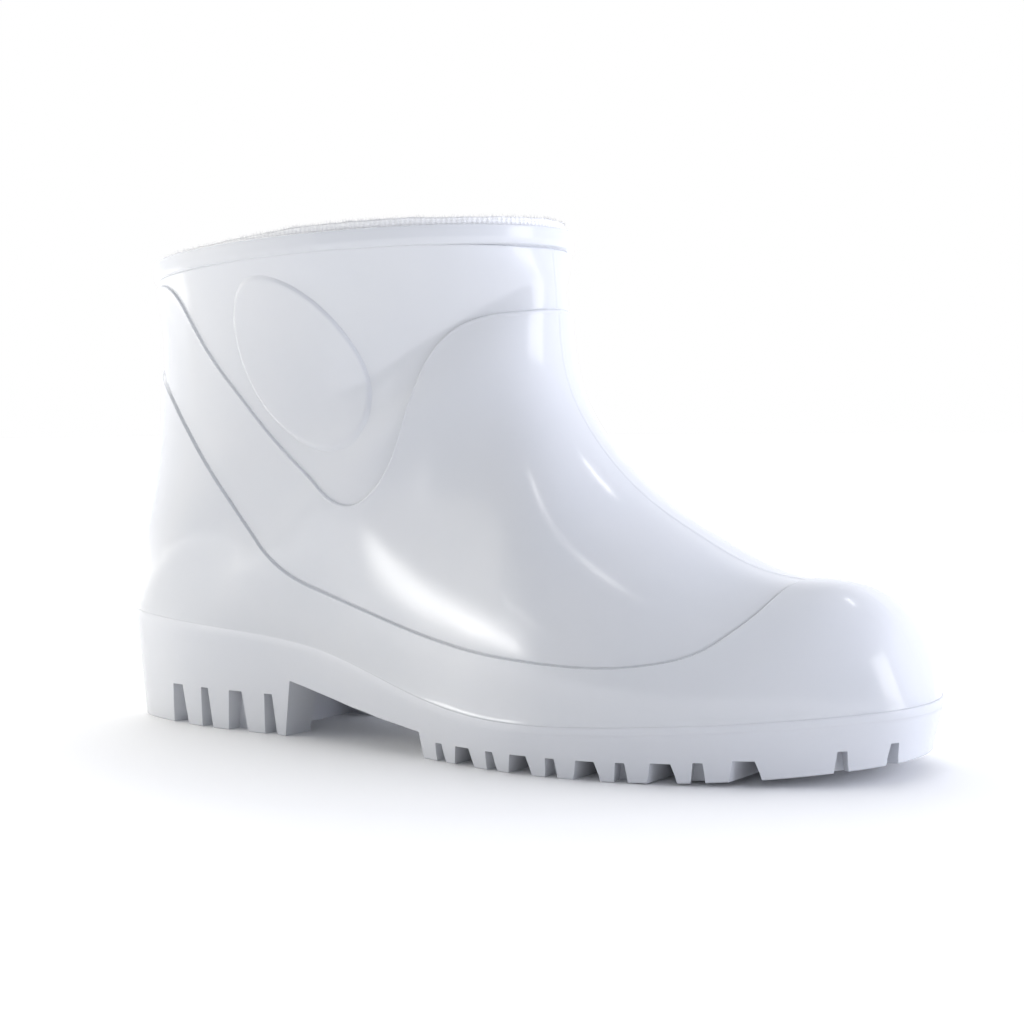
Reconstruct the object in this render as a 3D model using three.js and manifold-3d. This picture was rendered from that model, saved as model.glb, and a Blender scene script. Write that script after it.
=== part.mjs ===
// Short work boot, a right boot moulded in glossy white plastic.
// Millimetres. x runs from the back of the heel to the toe, y to the inner side of the foot,
// z up from the floor. The finished group stands with the middle of its footprint on the origin.
import * as THREE from 'three';
import Module from 'manifold-3d';

const wasm = await Module();
wasm.setup();

// Driving sizes of the last and the shaft
const FOOT_LENGTH = 300;
const BALL_WIDTH = 102;
const HEEL_SEAT_HEIGHT = 39.5;
const BALL_SEAT_HEIGHT = 16.2;
const TOE_RISE = 6.4;
const TOE_BOX_HEIGHT = 57.5;
const COLLAR_FRONT_HEIGHT = 161;
const COLLAR_BACK_HEIGHT = 155.5;
const COLLAR_BAND_HEIGHT = 6.5;
const TOE_SWING = 8;
const SWING_START = 110;

// Driving sizes of the upper's wall and its steps
const UPPER_INSET = 1.5;
const PANEL_WALL = 1.8;
const VAMP_DEPTH = 0.5;
const FOXING_STEP = 0.7;
const PANEL_STEP = 0.5;
const BAND_STEP = 1.0;
const PAD_STEP = 0.8;
const LEDGE_STEP = 1.8;
const LEDGE_SLOPE = 1.8;
const STEP_SLOPE = 0.9;
const EDGE_ROUNDING = 0.6;
const PAD_LENGTH = 64;
const PAD_WIDTH = 39;
const PAD_TILT_DEG = -51;
const PAD_AHEAD = 102;
const PAD_HEIGHT = 124.5;

// Driving sizes of the outsole and the insole
const SEAT_GAP = 0.3;
const SIDE_TAPER = 3.3;
const RIB_HEIGHT = 2.6;
const RIB_STEP = 0.4;
const RIB_START = 185;
const RIB_FADE = 20;
const TOE_SPRING = 7;
const SPRING_START = 215;
const HEEL_LENGTH = 87;
const BREAST_HEIGHT = 19.3;
const BREAST_LEAN = 4;
const FOREPART_START = 152.6;
const ARCH_FRONT_HEIGHT = 8.5;
const BREAST_HOLLOW_DEPTH = 14;
const BREAST_PILLAR = 16;
const HEEL_NOTCH_HEIGHT = 14;
const HEEL_NOTCH_DEPTH = 5.5;
const HEEL_NOTCH_FIRST = 36;
const HEEL_NOTCH_PITCH = 14.9;
const HEEL_NOTCH_COUNT = 4;
const HEEL_NOTCH_WIDE = 9.6;
const HEEL_NOTCH_NARROW = 5.8;
const GROOVE_HEIGHT = 6;
const NOTCH_DEPTH = 5.5;
const GROOVE_FIRST = 171;
const GROOVE_PITCH = 22.2;
const GROOVE_COUNT = 5;
const WIDE_GROOVE = 9.6;
const NARROW_GROOVE = 4.8;
const GROOVE_NARROWING = 0.6;
const INSOLE_THICKNESS = 3.5;
const INSOLE_BEVEL = 1.8;
const INSOLE_CLEARANCE = 0.5;

// Fineness of the meshes
const SIDE_COLUMNS = 38;
const OUTLINE_STEPS = 52;
const LINE_SAMPLES = 240;
const PAD_SPOKES = 32;
const HALVINGS = 34;
const CUTTER_REACH = 2;

// What follows from the sizes
const SPAN = FOOT_LENGTH - 2 * UPPER_INSET;
const BACK_RISE = COLLAR_BACK_HEIGHT - HEEL_SEAT_HEIGHT;
const SHAFT_RISE = COLLAR_FRONT_HEIGHT - TOE_BOX_HEIGHT;
const VAMP_OFFSET = -VAMP_DEPTH;
const FOXING_OFFSET = VAMP_OFFSET + FOXING_STEP;
const PANEL_OFFSET = VAMP_OFFSET - PANEL_STEP;
const BAND_OFFSET = PANEL_OFFSET + BAND_STEP;
const INNER_OFFSET = PANEL_OFFSET - PANEL_WALL;

// The sole's outline: shares of the length, and of the ball width to each side
const OUTLINE = [
  { along: 0.0, outer: 0.0, inner: 0.0 },
  { along: 0.02, outer: 0.201, inner: 0.201 },
  { along: 0.07, outer: 0.282, inner: 0.282 },
  { along: 0.15, outer: 0.337, inner: 0.337 },
  { along: 0.27, outer: 0.346, inner: 0.346 },
  { along: 0.36, outer: 0.356, inner: 0.333 },
  { along: 0.45, outer: 0.402, inner: 0.333 },
  { along: 0.55, outer: 0.475, inner: 0.373 },
  { along: 0.65, outer: 0.522, inner: 0.441 },
  { along: 0.72, outer: 0.512, inner: 0.485 },
  { along: 0.8, outer: 0.466, inner: 0.5 },
  { along: 0.87, outer: 0.395, inner: 0.48 },
  { along: 0.93, outer: 0.304, inner: 0.415 },
  { along: 0.97, outer: 0.214, inner: 0.3 },
  { along: 0.99, outer: 0.139, inner: 0.169 },
  { along: 1.0, outer: 0.0, inner: 0.0 },
];

// The sole line seen from the side: shares of the drop from heel seat to ball, and of the toe rise
const SOLE_LINE = [
  { along: 0.0, heel: 1.0, toe: 0.0 },
  { along: 0.12, heel: 0.914, toe: 0.0 },
  { along: 0.25, heel: 0.807, toe: 0.0 },
  { along: 0.36, heel: 0.627, toe: 0.0 },
  { along: 0.47, heel: 0.283, toe: 0.0 },
  { along: 0.58, heel: 0.03, toe: 0.0 },
  { along: 0.7, heel: 0.0, toe: 0.0 },
  { along: 0.82, heel: 0.0, toe: 0.328 },
  { along: 0.92, heel: 0.0, toe: 0.672 },
  { along: 1.0, heel: 0.0, toe: 1.0 },
];

// The front line of the last from toe tip to collar: shares of the upper's length,
// of the toe box height over the sole line, and of the rise from toe box to collar
const CREST = [
  { along: 1.0, box: 0.0, shaft: 0.0 },
  { along: 0.983, box: 0.441, shaft: 0.0 },
  { along: 0.961, box: 0.742, shaft: 0.0 },
  { along: 0.921, box: 0.951, shaft: 0.0 },
  { along: 0.872, box: 1.0, shaft: 0.0 },
  { along: 0.8165, box: 1.0, shaft: 0.036 },
  { along: 0.758, box: 1.0, shaft: 0.121 },
  { along: 0.692, box: 1.0, shaft: 0.242 },
  { along: 0.6347, box: 1.0, shaft: 0.413 },
  { along: 0.5997, box: 1.0, shaft: 0.604 },
  { along: 0.5916, box: 1.0, shaft: 0.797 },
  { along: 0.589, box: 1.0, shaft: 0.913 },
  { along: 0.5862, box: 1.0, shaft: 1.0 },
];

// The back line from heel seat to collar: shares of its rise and of the upper's length
const BACK_LINE = [
  { up: 0.0, ahead: 0.0 },
  { up: 0.134, ahead: 0.0003 },
  { up: 0.306, ahead: 0.0125 },
  { up: 0.522, ahead: 0.026 },
  { up: 0.737, ahead: 0.0327 },
  { up: 0.909, ahead: 0.0306 },
  { up: 1.0, ahead: 0.0237 },
];

// Girth sections, fanned from toe to collar. Each starts on the sole line (foot, share of length)
// or on the back line (back, share of its rise) and ends at a row number of the crest table.
// outer and inner are the bulge past the sole's outline, as shares of the ball width. fullest is
// where along the section it is widest, and low and high are how square it is below and above.
const SECTIONS = [
  { foot: 1.0, crest: 0.0, outer: 0.0, inner: 0.0, fullest: 0.1, low: 2.2, high: 2.3 },
  { foot: 0.967, crest: 2.1, outer: 0.003, inner: 0.003, fullest: 0.1, low: 2.2, high: 2.3 },
  { foot: 0.9, crest: 3.6, outer: 0.008, inner: 0.008, fullest: 0.1, low: 2.3, high: 2.3 },
  { foot: 0.8, crest: 5.4, outer: 0.008, inner: 0.008, fullest: 0.1, low: 2.2, high: 2.2 },
  { foot: 0.683, crest: 7.0, outer: 0.0, inner: 0.005, fullest: 0.12, low: 2.2, high: 2.15 },
  { foot: 0.55, crest: 8.3, outer: 0.0, inner: 0.029, fullest: 0.15, low: 2.2, high: 2.1 },
  { foot: 0.4, crest: 9.2, outer: 0.044, inner: 0.059, fullest: 0.18, low: 2.2, high: 2.1 },
  { foot: 0.25, crest: 10.0, outer: 0.069, inner: 0.069, fullest: 0.25, low: 2.2, high: 2.1 },
  { foot: 0.1, crest: 10.5, outer: 0.067, inner: 0.063, fullest: 0.35, low: 2.2, high: 2.1 },
  { back: 0.086, crest: 10.9, outer: 0.067, inner: 0.067, fullest: 0.42, low: 2.1, high: 2.1 },
  { back: 0.448, crest: 11.2, outer: 0.078, inner: 0.08, fullest: 0.48, low: 1.95, high: 2.15 },
  { back: 0.81, crest: 11.6, outer: 0.12, inner: 0.12, fullest: 0.5, low: 1.85, high: 2.15 },
  { back: 1.0, crest: 12.0, outer: 0.176, inner: 0.176, fullest: 0.52, low: 1.8, high: 2.05 },
];
const HEEL_WIDTH_STATION = 0.15;

// The foxing line, which is also the edge of the toe cap and of the counter: shares of the length
// and of the height between the sole line and the top of the boot above it
const FOXING_LINE = {
  backUp: 0.763,
  points: [
    { along: 0.109, rise: 0.66 },
    { along: 0.148, rise: 0.578 },
    { along: 0.208, rise: 0.437 },
    { along: 0.252, rise: 0.321 },
    { along: 0.296, rise: 0.222 },
    { along: 0.327, rise: 0.181 },
    { along: 0.374, rise: 0.157 },
    { along: 0.437, rise: 0.145 },
    { along: 0.501, rise: 0.138 },
    { along: 0.575, rise: 0.132 },
  ],
  toe: [
    { along: 0.642, rise: 0.226 },
    { along: 0.7, rise: 0.267 },
    { along: 0.75, rise: 0.307 },
    { along: 0.793, rise: 0.381 },
    { along: 0.829, rise: 0.499 },
    { along: 0.851, rise: 0.651 },
    { along: 0.867, rise: 0.811 },
  ],
  crestRow: 3.87,
  stops: [0.193, 0.393, 0.667],
};

// The edge of the recessed shaft panel: down from the back of the collar to the foot of a V,
// up behind the instep and level around the front of the shaft
const PANEL_LINE = {
  backUp: 0.975,
  points: [
    { along: 0.075, rise: 0.975 },
    { along: 0.12, rise: 0.97 },
    { along: 0.142, rise: 0.945 },
    { along: 0.163, rise: 0.89 },
    { along: 0.211, rise: 0.749 },
    { along: 0.263, rise: 0.624 },
    { along: 0.308, rise: 0.516 },
    { along: 0.358, rise: 0.429 },
    { along: 0.39, rise: 0.388 },
    { along: 0.408, rise: 0.386 },
    { along: 0.433, rise: 0.423 },
    { along: 0.453, rise: 0.489 },
    { along: 0.469, rise: 0.603 },
    { along: 0.482, rise: 0.716 },
    { along: 0.497, rise: 0.78 },
    { along: 0.518, rise: 0.823 },
    { along: 0.55, rise: 0.848 },
    { along: 0.577, rise: 0.855 },
  ],
  toe: [],
  crestRow: 10.05,
  stops: [0.187, 0.35, 0.477],
};

// The columns that mark the back, the heel's flank, the waist, the ball and the front in every
// row, as shares of a row's half, and where they start on the feather edge as shares of the length
const COLUMN_STOPS = [0, 0.3, 0.5, 0.75, 1];
const FEATHER_STOPS = [0.2, 0.433, 0.717];

// The kick-off ledge: its top as a share of the foxing's height, and how far around the girth it
// stands out fully and ends
const LEDGE_TOP = 0.34;
const LEDGE_FULL = 0.045;
const LEDGE_REACH = 0.13;

// The arch under the waist: shares of the way from the breast to the forepart, and of the drop
const ARCH = [
  { along: 0.0, drop: 0.0 },
  { along: 0.28, drop: 0.37 },
  { along: 0.45, drop: 0.58 },
  { along: 0.68, drop: 0.79 },
  { along: 1.0, drop: 1.0 },
];

// Extra narrow notches around the toe, as shares of the length
const TOE_NOTCHES = [0.95, 0.988];

// Slopes of the smooth cubic through the knots, found by the usual tridiagonal elimination
function cubicSlopes(knots, values) {
  const last = knots.length - 1;
  const width = [];
  const rate = [];
  for (let i = 0; i < last; i += 1) {
    width.push(knots[i + 1] - knots[i]);
    rate.push((values[i + 1] - values[i]) / width[i]);
  }
  const above = [0.5];
  const right = [1.5 * rate[0]];
  for (let i = 1; i < last; i += 1) {
    const pivot = 2 * (width[i] + width[i - 1]) - width[i] * above[i - 1];
    above.push(width[i - 1] / pivot);
    const load = 3 * (width[i] * rate[i - 1] + width[i - 1] * rate[i]);
    right.push((load - width[i] * right[i - 1]) / pivot);
  }
  const slopes = [];
  slopes[last] = (3 * rate[last - 1] - right[last - 1]) / (2 - above[last - 1]);
  for (let i = last - 1; i >= 0; i -= 1) {
    slopes[i] = right[i] - above[i] * slopes[i + 1];
  }
  return slopes;
}

// A smooth curve of value over knot
function curve(knots, values) {
  const slopes = cubicSlopes(knots, values);
  const last = knots.length - 1;
  return (at) => {
    const place = THREE.MathUtils.clamp(at, knots[0], knots[last]);
    let i = 0;
    while (i < last - 1 && place > knots[i + 1]) {
      i += 1;
    }
    const width = knots[i + 1] - knots[i];
    const t = (place - knots[i]) / width;
    const s = 1 - t;
    const fromValues = values[i] * (1 + 2 * t) * s * s + values[i + 1] * t * t * (1 + 2 * s);
    const fromSlopes = width * t * s * (slopes[i] * s - slopes[i + 1] * t);
    return fromValues + fromSlopes;
  };
}

// A column of a table as a curve over its row number, or over another column
function columnByRow(table, value) {
  return curve(table.map((row, i) => i), table.map(value));
}

function columnBy(table, knot, value) {
  return curve(table.map(knot), table.map(value));
}

const angleOf = (share) => Math.acos(THREE.MathUtils.clamp(1 - 2 * share, -1, 1));
const OUTER = -1;
const INNER = 1;
const halfWidth = {
  [OUTER]: columnBy(OUTLINE, (row) => angleOf(row.along), (row) => row.outer * BALL_WIDTH),
  [INNER]: columnBy(OUTLINE, (row) => angleOf(row.along), (row) => row.inner * BALL_WIDTH),
};
const outlineHalfWidth = (share, side) => halfWidth[side](angleOf(share));

const soleLineByShare = columnBy(SOLE_LINE, (row) => row.along, (row) => BALL_SEAT_HEIGHT
  + row.heel * (HEEL_SEAT_HEIGHT - BALL_SEAT_HEIGHT) + row.toe * TOE_RISE);
const soleLine = (x) => soleLineByShare(x / FOOT_LENGTH);
const TOE_LINE_HEIGHT = soleLine(FOOT_LENGTH - UPPER_INSET);

const crestX = columnByRow(CREST, (row) => UPPER_INSET + row.along * SPAN);
const crestZ = columnByRow(CREST, (row) => TOE_LINE_HEIGHT
  + row.box * (TOE_BOX_HEIGHT - TOE_LINE_HEIGHT) + row.shaft * SHAFT_RISE);

const backAhead = columnBy(BACK_LINE, (row) => row.up, (row) => row.ahead);
const backPoint = (up) => ({
  x: UPPER_INSET + backAhead(up) * SPAN,
  z: HEEL_SEAT_HEIGHT + up * BACK_RISE,
});

// The forefoot bends to the inner side
function swing(x) {
  const ahead = Math.max(0, (x - SWING_START) / (FOOT_LENGTH - SWING_START));
  return TOE_SWING * ahead * ahead;
}

// Station along the bottom of the sections: length on the sole line, then minus height up the back
const stationOf = (row) => (row.foot === undefined ? -row.back * BACK_RISE : row.foot * FOOT_LENGTH);
const station = columnByRow(SECTIONS, stationOf);
const crestRow = columnByRow(SECTIONS, (row) => row.crest);
const bulge = {
  [OUTER]: columnByRow(SECTIONS, (row) => row.outer * BALL_WIDTH),
  [INNER]: columnByRow(SECTIONS, (row) => row.inner * BALL_WIDTH),
};
const fullest = columnByRow(SECTIONS, (row) => row.fullest);
const lowPower = columnByRow(SECTIONS, (row) => row.low);
const highPower = columnByRow(SECTIONS, (row) => row.high);
const LAST_SECTION = SECTIONS.length - 1;

// The line of one girth section in the side view
function sectionLine(at) {
  const place = station(at);
  const top = { x: crestX(crestRow(at)), z: crestZ(crestRow(at)) };
  if (place < 0) {
    return { bottom: backPoint(-place / BACK_RISE), top };
  }
  const x = UPPER_INSET + (place / FOOT_LENGTH) * SPAN;
  return { bottom: { x, z: soleLine(x) }, top };
}

// The section that passes through a point of the side view, and how far along it the point lies
function sectionThrough(x, z) {
  const turn = (line) => (line.top.x - line.bottom.x) * (z - line.bottom.z)
    - (line.top.z - line.bottom.z) * (x - line.bottom.x);
  let low = 0.001;
  let high = LAST_SECTION;
  for (let i = 0; i < HALVINGS; i += 1) {
    const middle = (low + high) / 2;
    if (turn(sectionLine(middle)) > 0) {
      low = middle;
    } else {
      high = middle;
    }
  }
  const at = (low + high) / 2;
  const { bottom, top } = sectionLine(at);
  const dx = top.x - bottom.x;
  const dz = top.z - bottom.z;
  const share = ((x - bottom.x) * dx + (z - bottom.z) * dz) / (dx * dx + dz * dz);
  return { at, share };
}

// Half width of the last at a share of the way up one section
function girth(at, share, side) {
  const place = station(at);
  const shrink = SPAN / FOOT_LENGTH;
  const base = place < 0 ? 0 : outlineHalfWidth(place / FOOT_LENGTH, side) * shrink;
  const widthStation = Math.max(place / FOOT_LENGTH, HEEL_WIDTH_STATION);
  const widest = Math.max(outlineHalfWidth(widthStation, side) * shrink + bulge[side](at), base + 0.001);
  const peak = fullest(at);
  if (share < peak) {
    const low = lowPower(at);
    const start = (1 - (base / widest) ** low) ** (1 / low);
    const down = THREE.MathUtils.clamp(start * (1 - share / peak), 0, 1);
    return widest * (1 - down ** low) ** (1 / low);
  }
  const high = highPower(at);
  const up = THREE.MathUtils.clamp((share - peak) / (1 - peak), 0, 1);
  return widest * (1 - up ** high) ** (1 / high);
}

// A point of the last over a point of the side view, on one side of the foot
function onLast(x, z, side) {
  const { at, share } = sectionThrough(x, z);
  return new THREE.Vector3(x, side * girth(at, share, side) + swing(x), z);
}

// A polyline with its running length, and a point at a share of that length
function measured(points) {
  const run = [0];
  for (let i = 1; i < points.length; i += 1) {
    run.push(run[i - 1] + points[i].distanceTo(points[i - 1]));
  }
  return { points, run };
}

function alongMeasured({ points, run }, share) {
  const wanted = share * run[run.length - 1];
  let i = 0;
  while (i < run.length - 2 && run[i + 1] < wanted) {
    i += 1;
  }
  const t = (wanted - run[i]) / Math.max(run[i + 1] - run[i], 1e-9);
  return points[i].clone().lerp(points[i + 1], t);
}

// Height of the boot's top over a point of the sole, on the collar line or on the crest
const COLLAR_FRONT = { x: crestX(CREST.length - 1), z: crestZ(CREST.length - 1) };
const COLLAR_BACK = backPoint(1);
function topLine(x) {
  if (x < COLLAR_FRONT.x) {
    const share = (x - COLLAR_BACK.x) / (COLLAR_FRONT.x - COLLAR_BACK.x);
    return COLLAR_BACK.z + share * (COLLAR_FRONT.z - COLLAR_BACK.z);
  }
  let low = 0;
  let high = CREST.length - 1;
  for (let i = 0; i < HALVINGS; i += 1) {
    const middle = (low + high) / 2;
    if (crestX(middle) > x) {
      low = middle;
    } else {
      high = middle;
    }
  }
  return crestZ(low);
}

// A feature line in the side view, from the back line to the crest
function featureLine(line) {
  const place = (row) => {
    const x = row.along * FOOT_LENGTH;
    return new THREE.Vector2(x, soleLine(x) + row.rise * (topLine(x) - soleLine(x)));
  };
  const start = backPoint(line.backUp);
  const end = new THREE.Vector2(crestX(line.crestRow), crestZ(line.crestRow));
  const points = [new THREE.Vector2(start.x, start.z), ...line.points.map(place),
    ...line.toe.map(place), end];
  const { run } = measured(points);
  const x = curve(run, points.map((point) => point.x));
  const z = curve(run, points.map((point) => point.y));
  const length = run[run.length - 1];
  return (share) => new THREE.Vector2(x(share * length), z(share * length));
}

const straightLine = (from, to) => (share) => new THREE.Vector2(
  THREE.MathUtils.lerp(from.x, to.x, share),
  THREE.MathUtils.lerp(from.z, to.z, share),
);
const featherLine = (share) => {
  const x = UPPER_INSET + share * SPAN;
  return new THREE.Vector2(x, soleLine(x));
};

// Even steps of a half turn crowd the samples towards both ends of a line
const angleShare = (share) => (1 - Math.cos(Math.PI * share)) / 2;

// The same line again, paced by its true length over the last, so that the columns at the heel's
// flank, the waist and the ball pass it at the lengths along the foot that are given in stops
function paced(line, stops) {
  const flats = [];
  for (let i = 0; i <= LINE_SAMPLES; i += 1) {
    flats.push(line(angleShare(i / LINE_SAMPLES)));
  }
  const { run } = measured(flats.map((flat) => onLast(flat.x, flat.y, OUTER)));
  const passed = stops.map((stop) => {
    const i = flats.findIndex((flat) => flat.x > stop * FOOT_LENGTH);
    return run[i] / run[LINE_SAMPLES];
  });
  const pace = curve(COLUMN_STOPS, [0, ...passed, 1]);
  return (share) => alongMeasured({ points: flats, run }, pace(share));
}

const collarLine = straightLine(COLLAR_BACK, COLLAR_FRONT);
const RINGS = [
  { line: paced(featherLine, FEATHER_STOPS), backUp: 0, crestRow: 0 },
  { line: paced(featureLine(FOXING_LINE), FOXING_LINE.stops), ...FOXING_LINE },
  { line: paced(featureLine(PANEL_LINE), PANEL_LINE.stops), ...PANEL_LINE },
  { line: paced(collarLine, PANEL_LINE.stops), backUp: 1, crestRow: CREST.length - 1 },
];

// A line of the side view between two rings, which keeps to the back line and the crest at its ends
function lineBetween(ring, share) {
  const lower = RINGS[ring];
  const upper = RINGS[ring + 1];
  const back = backPoint(THREE.MathUtils.lerp(lower.backUp, upper.backUp, share));
  const row = THREE.MathUtils.lerp(lower.crestRow, upper.crestRow, share);
  const ends = [new THREE.Vector2(back.x, back.z), new THREE.Vector2(crestX(row), crestZ(row))];
  const straight = [0, 1].map((end) => lower.line(end).lerp(upper.line(end), share));
  const fix = ends.map((end, i) => end.sub(straight[i]));
  return (u) => lower.line(u).lerp(upper.line(u), share)
    .addScaledVector(fix[0], 1 - u)
    .addScaledVector(fix[1], u);
}

// Shares of a measured line at which the marked columns pass it
function columnPace({ run }) {
  const last = run.length - 1;
  const shares = COLUMN_STOPS.map((stop) => {
    const place = Math.min((LINE_SAMPLES * angleOf(stop)) / Math.PI, last);
    const i = Math.min(Math.floor(place), last - 1);
    return THREE.MathUtils.lerp(run[i], run[i + 1], place - i) / run[last];
  });
  shares[shares.length - 1] = 1;
  return curve(COLUMN_STOPS, shares);
}

// One row of the last: a closed loop from the back line along the outer side to the crest and
// back along the inner side, with its points spaced over the true surface
function lastRow(ring, share) {
  const line = lineBetween(ring, share);
  const flats = [line(0)];
  for (let i = 1; i < LINE_SAMPLES; i += 1) {
    const flat = line(angleShare(i / LINE_SAMPLES));
    if (sectionThrough(flat.x, flat.y).share > 1) {
      break;
    }
    flats.push(flat);
  }
  flats.push(line(1));
  const halves = [OUTER, INNER].map((side) => {
    const half = measured(flats.map((flat) => onLast(flat.x, flat.y, side)));
    [half.points[0], half.points[flats.length - 1]].forEach((point) => {
      point.y = swing(point.x);
    });
    return half;
  });
  const loop = [];
  const paces = halves.map(columnPace);
  for (let i = 0; i < SIDE_COLUMNS; i += 1) {
    loop.push(alongMeasured(halves[0], paces[0](i / SIDE_COLUMNS)));
  }
  for (let i = SIDE_COLUMNS; i > 0; i -= 1) {
    loop.push(alongMeasured(halves[1], paces[1](i / SIDE_COLUMNS)));
  }
  return loop;
}

// Rows of the last from the feather edge to the band line, as ring number and share to the next
const ROWS = [
  { ring: 0, share: 0 },
  { ring: 0, share: 0.1 },
  { ring: 0, share: 0.22 },
  { ring: 0, share: LEDGE_TOP },
  { ring: 0, share: 0.5 },
  { ring: 0, share: 0.66 },
  { ring: 0, share: 0.83 },
  { ring: 1, share: 0 },
  { ring: 1, share: 0.16 },
  { ring: 1, share: 0.33 },
  { ring: 1, share: 0.5 },
  { ring: 1, share: 0.67 },
  { ring: 1, share: 0.84 },
  { ring: 2, share: 0 },
  { ring: 2, share: 0.17 },
  { ring: 2, share: 0.34 },
  { ring: 2, share: 0.5 },
  { ring: 2, share: 0.67 },
  { ring: 2, share: 0.84 },
  { ring: 2, share: 1 },
];
const FOXING_ROW = ROWS.findIndex((row) => row.ring === 1);
const PANEL_ROW = ROWS.findIndex((row) => row.ring === 2);
const BAND_ROW = ROWS.length - 1;
const LEDGE_ROW = ROWS.findIndex((row) => row.share === LEDGE_TOP);
const FINE_INSIDE_ROW = PANEL_ROW - 3;
const UP = new THREE.Vector3(0, 0, 1);

// The last's outward normal over a point of the side view
function normalOf(x, z, side) {
  const step = 0.1;
  const ahead = onLast(x + step, z, side).sub(onLast(x - step, z, side));
  const above = onLast(x, z + step, side).sub(onLast(x, z - step, side));
  return ahead.cross(above).multiplyScalar(-side).normalize();
}

// Base points of every row, and the outward normals that offsets follow
function makeLast() {
  const points = ROWS.map((row) => lastRow(row.ring, row.share));
  const count = 2 * SIDE_COLUMNS;
  const normals = points.map((row, r) => row.map((point, c) => {
    const around = row[(c + 1) % count].clone().sub(row[(c + count - 1) % count]);
    if (r === 0 || r === BAND_ROW) {
      return around.cross(UP).normalize();
    }
    if (c % SIDE_COLUMNS === 0) {
      return around.cross(points[r + 1][c].clone().sub(points[r - 1][c])).normalize();
    }
    return normalOf(point.x, point.z, c < SIDE_COLUMNS ? OUTER : INNER);
  }));
  points[0].forEach((point) => {
    point.z += SEAT_GAP;
  });
  return { points, normals };
}

const LAST = makeLast();

// A row moved off the last by an offset, which may change around the loop
function offsetRow(row, offset) {
  return LAST.points[row].map((point, c) => {
    const amount = typeof offset === 'number' ? offset : offset(c);
    return point.clone().addScaledVector(LAST.normals[row][c], amount);
  });
}

// The same row a little further up, where a step in the wall ends
function pastStep(row, offset, width) {
  return LAST.points[row].map((point, c) => {
    const onward = LAST.points[row + 1][c].clone().sub(point).normalize();
    return point.clone().addScaledVector(onward, width)
      .addScaledVector(LAST.normals[row][c], offset);
  });
}

// A row of the collar band, straight up from the band line
function bandRow(height, offset) {
  return offsetRow(BAND_ROW, offset).map((point) => point.addScaledVector(UP, height));
}

// The ledge stands out around the back of the heel and dies away along the sides
function ledgeOffset(c) {
  const girthShare = Math.min(c, 2 * SIDE_COLUMNS - c) / SIDE_COLUMNS;
  const fade = 1 - THREE.MathUtils.smoothstep(girthShare, LEDGE_FULL, LEDGE_REACH);
  return FOXING_OFFSET + LEDGE_STEP * fade;
}

// Outer skin from the feather edge to the rim, then the inner skin down again
function upperRows() {
  const rows = [];
  for (let r = 0; r < LEDGE_ROW; r += 1) {
    rows.push(offsetRow(r, (c) => (r === 0 ? Math.min(ledgeOffset(c), UPPER_INSET) : ledgeOffset(c))));
  }
  rows.push(offsetRow(LEDGE_ROW, ledgeOffset));
  rows.push(pastStep(LEDGE_ROW, FOXING_OFFSET, LEDGE_SLOPE));
  for (let r = LEDGE_ROW + 1; r <= FOXING_ROW; r += 1) {
    rows.push(offsetRow(r, FOXING_OFFSET));
  }
  rows.push(pastStep(FOXING_ROW, VAMP_OFFSET, STEP_SLOPE));
  for (let r = FOXING_ROW + 1; r <= PANEL_ROW; r += 1) {
    rows.push(offsetRow(r, VAMP_OFFSET));
  }
  rows.push(pastStep(PANEL_ROW, PANEL_OFFSET, STEP_SLOPE));
  for (let r = PANEL_ROW + 1; r <= BAND_ROW; r += 1) {
    rows.push(offsetRow(r, PANEL_OFFSET));
  }
  rows.push(bandRow(STEP_SLOPE / 2, BAND_OFFSET));
  rows.push(bandRow(COLLAR_BAND_HEIGHT - EDGE_ROUNDING, BAND_OFFSET));
  rows.push(bandRow(COLLAR_BAND_HEIGHT, BAND_OFFSET - EDGE_ROUNDING));
  rows.push(bandRow(COLLAR_BAND_HEIGHT, INNER_OFFSET + EDGE_ROUNDING));
  rows.push(bandRow(COLLAR_BAND_HEIGHT - EDGE_ROUNDING, INNER_OFFSET));
  for (let r = BAND_ROW; r >= 0; r -= 1) {
    if (r >= FINE_INSIDE_ROW || r % 2 === 0) {
      rows.push(offsetRow(r, INNER_OFFSET));
    }
  }
  return rows;
}

function solid(vertices, triangles) {
  return new wasm.Manifold(new wasm.Mesh({
    numProp: 3,
    vertProperties: new Float32Array(vertices.flatMap((point) => [point.x, point.y, point.z])),
    triVerts: new Uint32Array(triangles),
  }));
}

// A ring-shaped body whose closed rows follow each other all the way around its wall.
// Each four-sided field is split along its shorter diagonal.
function rowsToTube(rows) {
  const count = rows[0].length;
  const vertices = rows.flat();
  const triangles = [];
  rows.forEach((row, r) => {
    const next = (r + 1) % rows.length;
    for (let c = 0; c < count; c += 1) {
      const d = (c + 1) % count;
      const field = [r * count + c, r * count + d, next * count + d, next * count + c];
      const spread = (i, j) => vertices[field[i]].distanceTo(vertices[field[j]]);
      const order = spread(0, 2) < spread(1, 3) ? [0, 1, 2, 0, 2, 3] : [1, 2, 3, 1, 3, 0];
      triangles.push(...order.map((i) => field[i]));
    }
  });
  return solid(vertices, triangles);
}

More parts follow.
